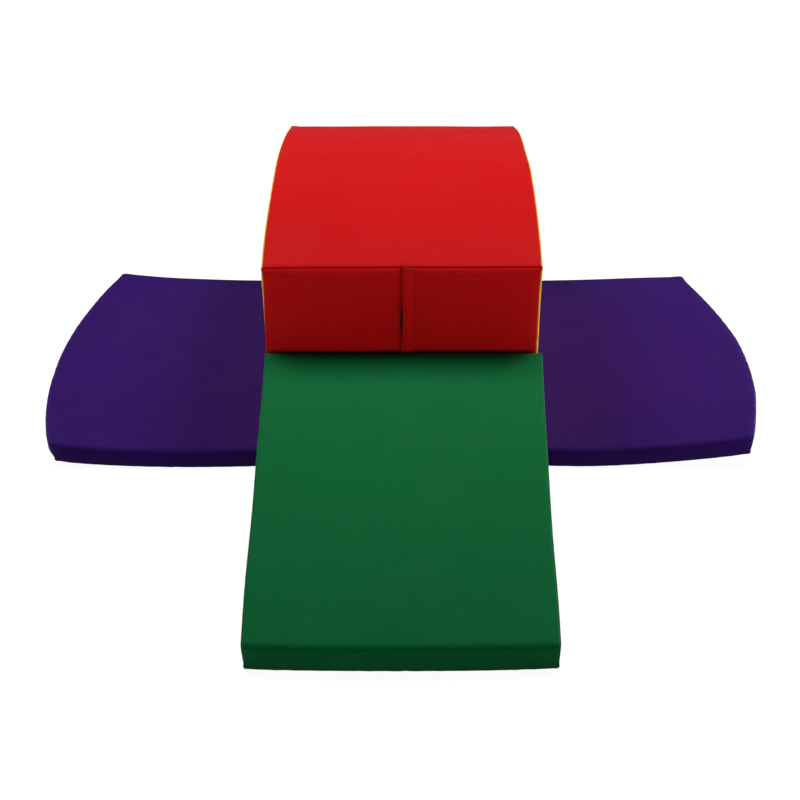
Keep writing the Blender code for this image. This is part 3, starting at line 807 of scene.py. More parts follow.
class Nodes:
    """A small helper that lays and joins nodes in one tree."""

    def __init__(self, tree: bpy.types.NodeTree) -> None:
        """Keeps the tree to add to."""
        self.tree = tree

    def add(self, kind: str, **inputs: object) -> dict[str, Value]:
        """Adds a node and fills its sockets.

        Args:
            kind: The node's type without its ShaderNode prefix.
            **inputs: Sockets by name with _ for a space, or i and a number, or a node setting in lower
                case. Each is a value to join, or a number, colour or option.

        Returns:
            The node's outputs by name.
        """
        node = self.tree.nodes.new(kind if kind.startswith("NodeGroup") else f"ShaderNode{kind}")
        for name, value in inputs.items():
            if hasattr(node, name):
                setattr(node, name, value)
                continue
            key = int(name[1:]) if name[0] == "i" and name[1:].isdigit() else name.replace("_", " ")
            self.set(node.inputs[key], value)
        # Backwards, so that the first of two outputs with one name is kept.
        return {socket.name: Value(self, socket) for socket in list(node.outputs)[::-1]}

    def set(self, socket: bpy.types.NodeSocket, value: object) -> None:
        """Joins a socket to a value, or gives it a plain one."""
        if isinstance(value, Value):
            self.tree.links.new(value.socket, socket)
        elif isinstance(value, tuple) and len(value) == 3 and socket.type == "RGBA":
            socket.default_value = (*value, 1.0)
        else:
            socket.default_value = value

    def math(self, operation: str, *values: object) -> Value:
        """One sum on one or two values."""
        return self.add("Math", operation=operation, **{f"i{k}": v for k, v in enumerate(values)})["Value"]

    def largest(self, first: object, *others: object) -> object:
        """The largest of several values."""
        for other in others:
            first = self.math("MAXIMUM", first, other)
        return first

    def between(self, value: object, low: float, high: float, to_low: float, to_high: float) -> Value:
        """A value mapped smoothly from one range to another, and held at both ends."""
        return self.add("MapRange", interpolation_type="SMOOTHSTEP", Value=value, From_Min=low,
                        From_Max=high, To_Min=to_low, To_Max=to_high)["Result"]

    def mix(self, share: object, first: object, second: object) -> Value:
        """Two colours mixed by a share."""
        node = self.tree.nodes.new("ShaderNodeMix")
        node.data_type = "RGBA"
        for key, value in (("Factor", share), (6, first), (7, second)):
            self.set(node.inputs[key], value)
        return Value(self, node.outputs[2])

    def noise(self, place: object, scale: object, detail: float = 3.0, rough: float = 0.55) -> Value:
        """Noise around 0.5 at a scale per metre."""
        return self.add("TexNoise", Vector=place, Scale=scale, Detail=detail, Roughness=rough)["Fac"]

    def bump(self, height: object, distance: float, strength: float) -> Value:
        """The normal over a height."""
        return self.add("Bump", Height=height, Distance=distance, Strength=strength)["Normal"]


def start_effect(name: str, inputs: dict[str, float | None],
                 outputs: Sequence[str]) -> tuple[Nodes, dict[str, Value]]:
    """Starts a shared effect, whose inputs are None for a vector, and returns what it is given."""
    tree = bpy.data.node_groups.new(name, "ShaderNodeTree")
    for key, value in inputs.items():
        kind = "NodeSocketVector" if value is None else "NodeSocketFloat"
        socket = tree.interface.new_socket(key, in_out="INPUT", socket_type=kind)
        if value is not None:
            socket.default_value = value
    for key in outputs:
        tree.interface.new_socket(key, in_out="OUTPUT", socket_type="NodeSocketFloat")
    nodes = Nodes(tree)
    return nodes, nodes.add("NodeGroupInput")


def make_leather_grain() -> bpy.types.NodeTree:
    """Embossed grain: rounded pebbles from cell distances, with finer creases and pores between them.

    Height is high on the pebbles, and Crease is 1 in the lines between them.
    """
    nodes, given = start_effect("leather_grain", {"Place": None, "Pebbles": 850.0}, ("Height", "Crease"))
    swirl = nodes.add("TexNoise", Vector=given["Place"], Scale=90.0, Detail=2.0)["Color"]
    shifted = nodes.add("VectorMath", operation="MULTIPLY_ADD", i0=swirl, i1=(0.0022, 0.0022, 0.0022),
                        i2=given["Place"])["Vector"]
    cells = nodes.add("TexVoronoi", feature="DISTANCE_TO_EDGE", Vector=shifted,
                      Scale=given["Pebbles"])["Distance"]
    dome = nodes.between(cells, 0.0, 0.42, 0.0, 1.0)
    fine = nodes.noise(shifted, given["Pebbles"] * 2.7, 4.0, 0.6)
    creases = nodes.between(cells, 0.0, 0.16, 1.0, 0.0)
    nodes.add("NodeGroupOutput", Height=dome * 0.72 + fine * 0.35, Crease=creases)
    return nodes.tree


def make_handling_wear() -> bpy.types.NodeTree:
    """Wear, and a mask by the seams: Rubbed is 1 where hands and feet polish the cover.

    Rubbed comes from wide noise with finer streaks, and Scuffs from thin lines of noise within it.
    The seam mask rises close to a seam, broken up by noise; it makes the colour darker and rougher there.
    """
    nodes, given = start_effect("handling_wear", {"Place": None, "Seam": 0.02},
                                ("Rubbed", "Dusty", "Scuffs"))
    place = given["Place"]
    handled = nodes.noise(place, 7.0, 4.0, 0.6) * 0.75 + nodes.noise(place, 55.0, 5.0, 0.7) * 0.25
    rubbed = nodes.between(handled, 0.42, 0.66, 0.0, 1.0)
    near = 1.0 - nodes.math("MINIMUM", given["Seam"] / 0.006, 1.0)
    broken = nodes.between(nodes.noise(place, 140.0), 0.3, 0.7, 0.35, 1.0)
    lines = nodes.add("TexNoise", Vector=place, Scale=18.0, Detail=6.0, Roughness=0.75,
                      Distortion=1.6)["Fac"]
    scuffs = nodes.between(nodes.math("ABSOLUTE", lines - 0.5), 0.0, 0.010, 1.0, 0.0)
    nodes.add("NodeGroupOutput", Rubbed=rubbed, Dusty=near * near * broken, Scuffs=scuffs * rubbed)
    return nodes.tree


def make_weave() -> bpy.types.NodeTree:
    """A plain weave: two crossed rows of threads, each over the other in turn, plus loose fibres."""
    nodes, given = start_effect("plain_weave", {"Place": None, "Threads": 1400.0}, ("Height", "Fuzz"))
    place, threads = given["Place"], given["Threads"]
    split = nodes.add("SeparateXYZ", Vector=place)
    turn = threads * math.pi
    along = nodes.math("SINE", (split["X"] + split["Z"] * 0.5) * turn)
    across = nodes.math("SINE", (split["Y"] + split["Z"]) * turn)
    fuzz = nodes.noise(place, threads * 0.8, 4.0, 0.7)
    nodes.add("NodeGroupOutput", Height=along * across * 0.5 + 0.5, Fuzz=fuzz)
    return nodes.tree


@dataclass(frozen=True)
class Effects:
    """The shared effects, built once."""

    grain: bpy.types.NodeTree
    wear: bpy.types.NodeTree
    weave: bpy.types.NodeTree


@dataclass(frozen=True)
class Finish:
    """A finish: each kind lays its own nodes between the places on a piece and its shader."""

    def make(self, name: str, effects: Effects | None = None) -> bpy.types.Material:
        """Builds the material."""
        material = bpy.data.materials.new(name)
        material.use_nodes = True
        nodes = Nodes(material.node_tree)
        shader = material.node_tree.nodes["Principled BSDF"]
        for key, value in self.surface(nodes, nodes.add("TexCoord")["Object"], effects).items():
            nodes.set(shader.inputs[key], value)
        return material

    def surface(self, nodes: Nodes, place: Value, effects: Effects | None) -> dict[str, object]:
        """The shader's inputs by name, as each kind of finish works them out.

        Args:
            nodes: Lays nodes in the material.
            place: Places on the piece, in its own metres.
            effects: The shared effects.

        Returns:
            Values for the shader's sockets.
        """
        raise NotImplementedError


@dataclass(frozen=True)
class Vinyl(Finish):
    """Coated cover cloth in one colour: embossed grain, satin sheen, and light handling wear."""

    colour: Colour
    shade: Colour
    glow: Colour
    scuff: Colour = (0.55, 0.52, 0.48)
    roughness: float = 0.50
    pebbles: float = 780.0
    relief: float = 0.00016
    specular: float = 0.16

    def surface(self, nodes: Nodes, place: Value, effects: Effects) -> dict[str, object]:
        """The colour drifts between the cloth's own one and a shade of it.

        It is deeper in the creases, paler where it is rubbed, darker and rougher close to seams, and carries
        painted shade in each seam's groove.
        """
        seam = nodes.add("Attribute", attribute_name="seam")["Fac"]
        grain = nodes.add("Group", node_tree=effects.grain, Place=place, Pebbles=self.pebbles)
        wear = nodes.add("Group", node_tree=effects.wear, Place=place, Seam=seam)
        drift = nodes.between(nodes.noise(place, 3.4), 0.35, 0.68, 0.0, 0.25)
        mottle = nodes.between(nodes.noise(place, 130.0, 4.0, 0.7), 0.3, 0.7, 0.0, 0.30)
        # Painted shade: within about 1.6 mm of a seam the colour goes towards a very dark copy of the shade,
        # as the shadow in the seam's groove.
        groove_shade_share = nodes.between(seam, -0.0010, 0.0016, 0.72, 0.0)
        colour, painted_groove_shade = self.colour, tuple(0.2 * part for part in self.shade)
        for share, tone in ((drift + mottle, self.shade), (grain["Crease"] * 0.26, self.shade),
                            (wear["Rubbed"] * 0.05, self.glow), (wear["Scuffs"] * 0.015, self.scuff),
                            (wear["Dusty"] * 0.10, self.shade), (groove_shade_share, painted_groove_shade)):
            colour = nodes.mix(share, colour, tone)
        rough = grain["Crease"] * 0.12 + self.roughness - wear["Rubbed"] * 0.06 + wear["Dusty"] * 0.15
        return {"Base Color": colour, "Roughness": rough, "Specular IOR Level": self.specular,
                "Specular Tint": self.glow, "Normal": nodes.bump(grain["Height"], self.relief, 0.75)}


@dataclass(frozen=True)
class NonSlipCloth(Finish):
    """Dark base cloth with rows of small raised rubber dots."""

    colour: Colour = (0.022, 0.022, 0.024)
    dots: Colour = (0.055, 0.055, 0.058)
    pitch: float = 0.0075

    def surface(self, nodes: Nodes, place: Value, effects: Effects) -> dict[str, object]:
        """A dot stands round the middle of each square of a turned grid."""
        weave = nodes.add("Group", node_tree=effects.weave, Place=place, Threads=900.0)
        turned = nodes.add("Mapping", Vector=place, Rotation=(0.0, 0.0, math.pi / 4))["Vector"]
        split = nodes.add("SeparateXYZ", Vector=turned)
        away = [nodes.math("FRACT", split[axis] / self.pitch) - 0.5 for axis in ("X", "Y")]
        dot = nodes.between(nodes.math("SQRT", away[0] * away[0] + away[1] * away[1]), 0.16, 0.24, 1.0, 0.0)
        return {"Base Color": nodes.mix(dot, self.colour, self.dots), "Roughness": dot * -0.25 + 0.86,
                "Specular IOR Level": 0.3, "Normal": nodes.bump(dot + weave["Height"] * 0.12, 0.0006, 0.9)}


@dataclass(frozen=True)
class OpenFoam(Finish):
    """Upholstery foam: cream, matt, with open cells."""

    colour: Colour = (0.80, 0.72, 0.47)
    shade: Colour = (0.62, 0.52, 0.30)

    def surface(self, nodes: Nodes, place: Value, effects: Effects) -> dict[str, object]:
        """Small cells with painted shade in their hollows, and a tone that drifts."""
        cells = nodes.add("TexVoronoi", Vector=place, Scale=1300.0)["Distance"]
        drift = nodes.noise(place, 9.0, 4.0)
        colour = nodes.mix(nodes.between(drift, 0.35, 0.7, 0.0, 0.7), self.colour, self.shade)
        # Painted shade: each cell's hollow is mixed towards the shade colour.
        return {"Base Color": nodes.mix(nodes.between(cells, 0.2, 0.6, 0.5, 0.0), colour, self.shade),
                "Roughness": nodes.between(drift, 0.3, 0.7, 0.88, 0.97),
                "Normal": nodes.bump(cells, 0.0004, 0.8)}


@dataclass(frozen=True)
class WovenTape(Finish):
    """Woven polyester: zip tape and thread, or with a deep fuzz the pile of hook and loop."""

    colour: Colour
    threads: float = 1500.0
    fuzz: float = 0.25
    relief: float = 0.00012
    sheen: float = 0.15

    def surface(self, nodes: Nodes, place: Value, effects: Effects) -> dict[str, object]:
        """The weave's threads carry a painted highlight on their crowns, its loose fibres are paler too, and
        rougher.
        """
        weave = nodes.add("Group", node_tree=effects.weave, Place=place, Threads=self.threads)
        height, fibres = weave["Height"], weave["Fuzz"]
        # Painted highlight: paler where the weave's threads stand highest, and also with the loose fibres'
        # noise.
        tone = nodes.between(height * 0.5 + fibres * 0.6, 0.3, 1.0, 0.0, 1.0)
        crown_highlight = tuple(min(1.0, 2.4 * c + 0.002) for c in self.colour)
        pile = height * (1.0 - self.fuzz) + fibres * (2.0 * self.fuzz)
        return {"Base Color": nodes.mix(tone, self.colour, crown_highlight), "Sheen Weight": self.sheen,
                "Roughness": nodes.between(fibres, 0.3, 0.7, 0.80, 0.95),
                "Normal": nodes.bump(pile, self.relief, 0.9)}


@dataclass(frozen=True)
class Moulded(Finish):
    """Moulded nylon or plated metal: a smooth part with faint flow marks."""

    colour: Colour
    shade: Colour
    metallic: float = 0.0
    roughness: float = 0.38

    def surface(self, nodes: Nodes, place: Value, effects: Effects) -> dict[str, object]:
        """Drawn-out noise marks the colour, the roughness and the height alike."""
        drawn = nodes.add("Mapping", Vector=place, Scale=(1.0, 1.0, 0.15))["Vector"]
        marks = nodes.noise(drawn, 1600.0, 4.0, 0.65)
        tone = nodes.between(marks, 0.35, 0.7, 0.0, 1.0)
        rough = nodes.between(marks, 0.3, 0.7, self.roughness - 0.06, self.roughness + 0.1)
        return {"Base Color": nodes.mix(tone, self.colour, self.shade), "Roughness": rough,
                "Metallic": self.metallic, "Normal": nodes.bump(marks, 0.00002, 0.5)}


@dataclass(frozen=True)
class StudioFloor(Finish):
    """A white floor that throws light back up, and takes a faint shadow."""

    tone: float = 0.25
    near: float = 0.95
    near_reach: tuple[float, float] = (0.9, 3.2)
    throw: tuple[float, float] = (0.290, 1.73)
    throw_reach: tuple[float, float] = (1.15, 1.7)
    sheen: float = 0.05

    def surface(self, nodes: Nodes, place: Value, effects: None) -> dict[str, object]:
        """The glow differs by what the light is for.

        It is strong for the light that the floor throws from further away, low close to the climber
        and in reflections, and even to the camera: there it grows a little with the distance, so that
        the far floor is as white as the near one.
        """
        path = nodes.add("LightPath")
        away = nodes.add("VectorMath", operation="LENGTH", i0=place)["Value"]
        looks = nodes.between(away, *self.near_reach, self.near, 1.0)
        seen = nodes.largest(path["Is Camera Ray"], path["Is Transmission Ray"])
        throw = nodes.between(away, *self.throw_reach, *self.throw)
        glow = throw + path["Is Glossy Ray"] * (self.sheen - throw)
        return {"Base Color": (self.tone, self.tone, self.tone), "Roughness": 0.9, "Specular IOR Level": 0.0,
                "Emission Color": (1.0, 1.0, 1.0), "Emission Strength": glow + seen * (looks - glow)}


FINISHES = {
    Slot.RED: Vinyl((0.605, 0.0060, 0.0070), (0.525, 0.0046, 0.0054), (0.80, 0.03, 0.03)),
    Slot.YELLOW: Vinyl((0.96, 0.56, 0.032), (0.88, 0.47, 0.020), (1.0, 0.66, 0.12)),
    Slot.GREEN: Vinyl((0.0043, 0.169, 0.046), (0.0034, 0.144, 0.038), (0.02, 0.23, 0.08)),
    Slot.PURPLE: Vinyl((0.040, 0.0096, 0.156), (0.033, 0.0074, 0.132), (0.07, 0.03, 0.22), specular=0.10),
    Slot.BASE: NonSlipCloth(),
    Slot.FOAM: OpenFoam(),
    Slot.TAPE: WovenTape((0.006, 0.006, 0.007)),
    Slot.CHAIN: Moulded((0.045, 0.045, 0.048), (0.075, 0.075, 0.08)),
    Slot.METAL: Moulded((0.50, 0.50, 0.51), (0.38, 0.38, 0.40), metallic=1.0, roughness=0.30),
    Slot.STRIP: WovenTape((0.022, 0.022, 0.024), threads=1100.0, fuzz=0.75, relief=0.0005, sheen=0.3),
}
THREADS = {
    Slot.STRIP: ("black_thread", WovenTape((0.02, 0.02, 0.02), threads=3200.0, fuzz=0.2, relief=0.00005)),
    Slot.RED: ("red_thread", WovenTape((0.33, 0.008, 0.010), threads=3200.0, fuzz=0.2, relief=0.00005)),
}


class Looks:
    """Every finish of the climber by its slot: its parts, and the thread sewn into some of them."""

    def __init__(self) -> None:
        """Builds the shared effects once, and then every finish with them."""
        effects = Effects(make_leather_grain(), make_handling_wear(), make_weave())
        self.parts = {slot: finish.make(slot.value, effects) for slot, finish in FINISHES.items()}
        self.threads = {slot: finish.make(name, effects) for slot, (name, finish) in THREADS.items()}


# The block


# The flap across, from its sewn edge at 1 to its free edge at 0: grid lines, and how far its outer face
# stands off the front and how thick it is at some of them. It clears the slider, and lies flat where sewn.
FLAP_LINES = (0.0, 0.02, 0.06, 0.12, 0.22, 0.34, 0.46, 0.58, 0.70, 0.79, 0.82, 0.86, 0.93, 0.98, 1.0)
FLAP_LIFT = ((0.0, 0.1, 0.3, 0.45, 0.65, 0.80, 0.84, 0.93, 1.0),
             (0.0031, 0.0035, 0.0041, 0.0042, 0.0030, 0.0016, 0.0015, 0.0019, 0.0015))
FLAP_THICKNESS = ((0.0, 0.18, 0.24, 0.75, 0.85, 1.0), (0.0016, 0.0016, 0.0010, 0.0010, 0.0011, 0.0011))


@dataclass
class Block:
    """The arched block: red over its top and front, yellow at its sides, with a flap over its zip."""

    looks: Looks
    height: float = 0.518
    rise: float = 0.072
    skin: float = 0.0014
    top_crown: float = 0.003
    front_sag: float = 0.0058
    sag_reach: float = 0.11
    edge_back: float = 0.0040
    edge_reach: float = 0.008
    side_crown: float = 0.006
    back_crown: float = 0.004
    front_crown: float = 0.004
    mat_top: float = 0.050
    ramp_top: float = 0.308
    band: tuple[float, float] = (-0.0028, 0.0284)
    slot: tuple[float, float] = (0.0077, 0.0163)
    foam_inset: float = 0.0048
    foam_radius: float = 0.018
    zip_x: float = 0.012
    zip_span: tuple[float, float] = (0.050, 0.5144)
    zip_stop: float = 0.0012
    tape_width: float = 0.014
    tape_back: float = 0.0062
    tape_reach: float = 0.014
    flap_span: tuple[float, float] = (0.004, 0.028)
    flap_foot: float = 0.045
    flap_split: float = 0.312
    flap_gap: float = 0.0002
    flap_tuck: float = 0.5104
    flap_top: float = 0.5168
    flap_step: float = 0.006
    flap_depth: float = 0.0078
    # Painted shade over the flap's top end: the height above which it is full, and how far the seam value
    # reaches below it.
    flap_seam: float = 0.5146
    flap_seam_reach: float = 0.02
    flap_end_lines: int = 16
    flap_wave: float = 0.00035
    flap_waves: tuple[float, float] = (71.0, 163.0)
    flap_gape: float = 0.0008
    flap_drift: float = 0.0050
    drift_heights: tuple[float, float, float] = (0.25, 0.30, 0.40)
    end_round: float = 0.00045
    end_reach: float = 0.0016
    blunt: float = 0.0006
    stitch_share: float = 0.835
    groove_x: float = 0.0022
    groove_half: float = 0.0052
    groove_depth: float = 0.0046
    gape: tuple[float, float] = (0.320, 0.448)
    gape_pull: float = 0.0016
    gap_width: float = 0.0082
    step: float = 0.0052
    seam: Seam = Seam(roll=0.0030, soft=0.0022, reach=0.020)
    hem: Seam = Seam(roll=0.0011, soft=0.0004, reach=0.005)

    def __post_init__(self) -> None:
        """Finds the front face, and makes the shell that the covers share."""
        floor_low, floor_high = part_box("block_base_cloth")
        self.front, self.width = floor_low.y, floor_high.x - floor_low.x
        self.depth = floor_high.y - floor_low.y
        foot = s = self.seam.inset
        low, half, top = self.front, self.width / 2 - s, self.height - s
        front, back = low + s, low + self.depth - s
        lines, pushes = [], []
        for side in (-1, 1):
            x = side * half
            lines.append(SewnLine((x, front, top), (x, back, top), (side, 0, 1)))
            lines.append(SewnLine((x, front, foot), (x, back, foot), (side, 0, -0.2)))
            for y, out in ((front, -1), (back, 1)):
                lines.append(SewnLine((x, y, foot), (x, y, top), (side, out, 0)))
                pushes.append(Push((x, y, foot), (side, out, 0), 0.0040))
                pushes.append(Push((x, y, top), (side, out, 0.8), 0.0034))
        for y, out in ((front, -1), (back, 1)):
            lines.append(SewnLine((-half, y, top), (half, y, top), (0, out, 1)))
            lines.append(SewnLine((-half, y, foot), (half, y, foot), (0, out, -0.2)))
        seam_x, hollow_x, bottom, peak = -half + 0.0033, -half - s, 0.19, 0.475
        pushes += [
            # An ear at the left back corner, and the top front edge drawn back all along.
            Push((-half + 0.010, back, top), (-0.3, 0.6, 0.9), 0.0036, 0.013),
            Push((-0.9, front, top), (0, 1, 0.1), self.edge_back, self.edge_reach, (0.9, front, top)),
            # The right shoulder bows out in two overlapping runs.
            Push((half, front - 0.05, top), (1, 0, 0.1), 0.0056, 0.045, (half, front + 0.50, top)),
            Push((half, front + 0.35, top), (1, 0, 0.2), 0.0052, 0.045, (half, back + 0.16, top)),
            # The left front seam stands out above the mat, and the side is hollow behind it.
            Push((seam_x, low + 0.001, bottom), (-1, 0, 0), 0.0046, 0.007, (seam_x, low + 0.001, peak)),
            Push((hollow_x, low + 0.018, bottom), (1, 0, 0), 0.0040, 0.016, (hollow_x, low + 0.018, peak)),
        ]
        relief = Relief(lines, pushes, seed=11, foot_drop=s - 0.0008)
        middle = (0, low + self.depth / 2, self.height / 2)
        self.shell = Shell("block", middle, self.seam, relief, self.settle, self.looks)

    def arch(self, y: Array) -> Array:
        """How far the top rises above its front edge, on a circle through both edges."""
        radius = (self.depth ** 2 / 4 + self.rise ** 2) / (2 * self.rise)
        return np.sqrt(radius ** 2 - (y - self.depth / 2) ** 2) - radius + self.rise

    def settle(self, points: Array) -> Array:
        """Arches the top and crowns every face, as the foam does.

        The top rises on a circle, and sags over its front edge, a little more on the left. Each face
        swells by a bump across it times a bump along it. The front swells on both sides of the zip,
        above the ramp, and the sides above the mats.
        """
        x, y, z = points[..., 0], points[..., 1] - self.front, points[..., 2]
        raised = np.clip((z - self.skin) / (self.height - 2 * self.skin), 0, 1)
        across, along = x / (self.width / 2), 2 * y / self.depth - 1
        sag = self.front_sag * (1 - 0.4 * across) * np.clip(1 - y / self.sag_reach, 0, 1) ** 2
        crown = self.top_crown * bulge(across) * bulge(along)
        height = z + raised * (self.arch(np.clip(y, 0, self.depth)) + crown - sag)
        side = self.side_crown * across * bulge(along) * bump(self.mat_top, self.height, z)
        back = self.back_crown * np.clip(along, 0, 1) * bulge(across) * bump(0, self.height, z)
        lobes = bump(-self.width / 2, self.band[0], x) + bump(self.band[1], self.width / 2, x)
        front = self.front_crown * np.clip(-along, 0, 1) * lobes * bump(self.ramp_top, self.height, z)
        return triple(x + side, points[..., 1] + back - front, height)

    def build(self) -> None:
        """Makes the covers, the foam, the zip, the flap and the strips."""
        self.build_covers()
        self.build_fronts()
        s, half = self.foam_inset, self.width / 2 - self.foam_inset
        self.shell.foam((-half, self.front + 2 * s, s), (half, self.front + self.depth - s, self.height - s),
                        self.foam_radius)
        self.build_zip()
        self.build_flap()
        for side in Side:
            Strip("block", f"block_ramp_loop_{side.word}", 1, -1).build(self.looks)
            Strip("block", f"block_mat_loop_{side.word}", 0, side.value).build(self.looks)

    def build_covers(self) -> None:
        """Top, sides, back and base, each a rectangle between its seams."""
        s, panel = self.seam.inset, self.shell.panel
        half, low, high = self.width / 2, self.front, self.front + self.depth

        def lines(step: float) -> tuple[Array, Array, Array]:
            """Grid lines across, along and up."""
            return (self.seam.lines(-half + s, half - s, step), self.seam.lines(low + s, high - s, step),
                    self.seam.lines(s, self.height - s, step))

        x, y, z = lines(self.step)
        panel("top", triple(x[:, None], y[None], self.height), (0, 0, -1), edge_distance(x, y), Slot.RED,
              "top_cover")
        wide, long, _ = lines(2.5 * self.step)
        panel("base", triple(wide[:, None], long[None], 0.0), (0, 0, 1), edge_distance(wide, long),
              Slot.BASE, "base_cloth")
        for side in Side:
            panel(f"side_{side.word}", triple(side.value * half, y[:, None], z[None]), (-side.value, 0, 0),
                  edge_distance(y, z), Slot.YELLOW, f"side_cover_{side.word}")
        panel("back", triple(x[:, None], high, z[None]), (0, -1, 0), edge_distance(x, z), Slot.RED,
              "back_cover")

    def build_fronts(self) -> None:
        """The two front panels, sewn round three edges and folded back at the zip.

        The left one's folded edge is drawn away from the flap where it gapes: by a bump of the height,
        times the sixth power of the way across.
        """
        s, half = self.seam.inset, self.width / 2
        z = self.seam.lines(s, self.height - s, self.step)[None]
        for side, low, high in ((Side.LEFT, -half + s, self.slot[0]), (Side.RIGHT, self.slot[1], half - s)):
            across = self.seam.lines(low, high, self.step)[:, None]
            outer, inner = across - low, high - across
            opened = self.gap_width * bump(*self.gape, z)
            if side is Side.RIGHT:
                outer, inner, opened = inner, outer, 0.0
            base = triple(across - opened * ((across - low) / (high - low)) ** 6, self.front, z)
            sewn = nearest(outer, z - s, self.height - s - z)
            folded = self.hem.dip(inner) + self.groove(base[..., 0], base[..., 2])
            self.shell.panel(f"front_{side.word}", base, (0, 1, 0), sewn, Slot.RED,
                             f"front_cover_{side.word}", folded)

    def groove(self, x: Array, z: Array) -> Array:
        """How far stitching pulls the front in beside the zip: a bell curve, deeper where the flap gapes."""
        depth = self.groove_depth + self.gape_pull * bump(*self.gape, z)
        return depth * np.exp(-((x - self.groove_x) / self.groove_half) ** 2)

    def build_zip(self) -> None:
        """The upright zip behind the flap, whose tapes follow the pulled-in cover."""
        def place(run: Array, across: Array, depth: Array) -> Array:
            """Puts a point of the zip in its place behind the cover."""
            under = np.clip(self.height - self.seam.inset - run, 0, None)
            drawn = self.seam.dip(under) + self.tape_back * np.exp(-(under / self.tape_reach) ** 2)
            behind = np.where(depth > 0.001, self.groove(self.zip_x + across, run) + drawn, 0.0)
            return triple(self.zip_x + across, self.front + depth + behind, run)

        Zip("block", *self.zip_span, ("left", "right"), (self.tape_width, self.tape_width), place,
            self.looks, stops=True, stop_length=self.zip_stop).build()

    def build_flap(self) -> None:
        """The flap over the zip: its foot stays behind the ramp, and its upper part swings open.

        The free edge stands off the cover, and drifts to the left towards the foot. The cloth is two
        layers thick at the free edge's hem and one elsewhere. The top end turns into the top seam as a
        fifth power of the height, and so closes over the zip.
        """
        share, width = np.array(FLAP_LINES), self.flap_span[1] - self.flap_span[0]
        lift, thick = np.interp(share, *FLAP_LIFT), np.interp(share, *FLAP_THICKNESS)[None]
        loose = (1 - share)[None]
        foot_end, flap_start = self.flap_split - self.flap_gap, self.flap_split + self.flap_gap
        parts = (("flap", "block_zip_flap", "block_zip_flap", flap_start, self.flap_top),
                 ("flap_foot", "block", "block_zip_flap_foot", self.flap_foot, foot_end))
        for name, body, node, low, high in parts:
            heights = np.union1d(self.hem.lines(low, high, self.flap_step),
                                 np.linspace(high - self.flap_step, high, self.flap_end_lines))
            z = heights[:, None]
            from_end = np.minimum(z - low, high - z)
            rounded = self.end_round * np.clip(1 - from_end / self.end_reach, 0, 1) ** 2
            x = self.flap_span[1] - (width + self.free_edge(z)) * loose
            slow, quick = (np.sin(z * turns + shift) for turns, shift in zip(self.flap_waves, (0, 1.1)))
            wave = self.flap_wave * (slow + 0.6 * quick) * loose ** 1.5
            tucked_in = np.clip((z - self.flap_tuck) / (self.flap_top - self.flap_tuck), 0, 1) ** 5
            rise = lift[None] + wave + self.flap_gape * bump(*self.gape, z) * loose ** 2
            face = self.front - rise + (rise + self.flap_depth) * tucked_in
            outer, inner = triple(x, face + rounded, z), triple(x, face + thick - rounded, z)
            rim = triple(x[:, :1] - self.blunt, (face + thick / 2)[:, :1], z)
            heel = triple(x[:, -1:] + self.blunt, (face + thick / 2)[:, -1:], z)
            rings = np.concatenate([outer, heel, inner[:, ::-1], rim], axis=1)
            # Painted shade: the seam value runs below zero at the flap's top end, so the vinyl paints the
            # dark shade of a seam's groove there.
            sewn = np.clip(self.flap_seam - heights, -0.001, self.flap_seam_reach)
            sewn = np.append(np.repeat(sewn, rings.shape[1]), [self.flap_seam_reach] * 2)
            piece = add_mesh(f"block_zip_{name}_cloth", closed_rings(rings[None]),
                             self.looks.parts[Slot.RED], {"seam": sewn}, sharp_from=60, outward=True)
            report(piece, body, Slot.RED, node)
            at = self.flap_span[1] - (width + self.free_edge(heights)) * (1 - self.stitch_share)
            line = triple(at, self.front - np.interp(self.stitch_share, share, lift), heights)[1:-1]
            sew(f"block_zip_{name}_stitches", body, Slot.RED, self.looks, [(line, np.array([0, -1.0, 0]))])

    def free_edge(self, z: Array) -> Array:
        """How far the flap's free edge has drifted left at a height.

        It grows as a square downwards, and ends behind the ramp's top.
        """
        end, full, start = self.drift_heights
        drifted = np.clip((start - z) / (start - full), 0, 1) ** 2
        return self.flap_drift * drifted * np.clip((z - end) / (full - end), 0, 1)


# The ramp and the mats


@dataclass(frozen=True)
class LowZip:
    """The zip low in a module's face: a cover folds back above it, and the base cloth turns up below it."""

    half_length: float
    height: float = 0.009
    slot_half: float = 0.0043
    slot_least: float = 0.0001
    slot_end: float = 0.022
    turn: float = 0.0025
    turn_points: int = 7
    tape_widths: tuple[float, float] = (0.0076, 0.014)
    cover_hem: Seam = Seam(roll=0.0011, soft=0.0004, reach=0.005)
    base_hem: Seam = Seam(roll=0.0011, soft=0.0003, reach=0.004)

    def slot(self, away: Array) -> Array:
        """Half the slot's height at a distance from its middle: full along the zip, shut past its ends."""
        past = np.clip((np.abs(away) - self.half_length) / self.slot_end, 0, 1)
        return self.slot_half * (1 - past ** 2 * (3 - 2 * past)) + self.slot_least

    def turned_up(self, run: Array, away: Array) -> Array:
        """How far the base cloth is raised from its round turn to the slot.

        Args:
            run: Distances along the cloth from its turned-up edge.
            away: Distances from the zip's middle.

        Returns:
            The height, which grows as a square of the way round the turn.
        """
        share = np.clip(1 - run / (self.turn * math.pi / 2), 0, 1)
        return share ** 2 * (self.height - self.slot(away) - self.turn)

    def build(self, body: str, middle: float, place: Callable[[Array, Array, Array], Array],
              looks: Looks) -> None:
        """Makes the zip, with its lower tape behind the base cloth."""
        start, end = middle - self.half_length, middle + self.half_length
        Zip(body, start, end, ("lower", "upper"), self.tape_widths, place, looks).build()


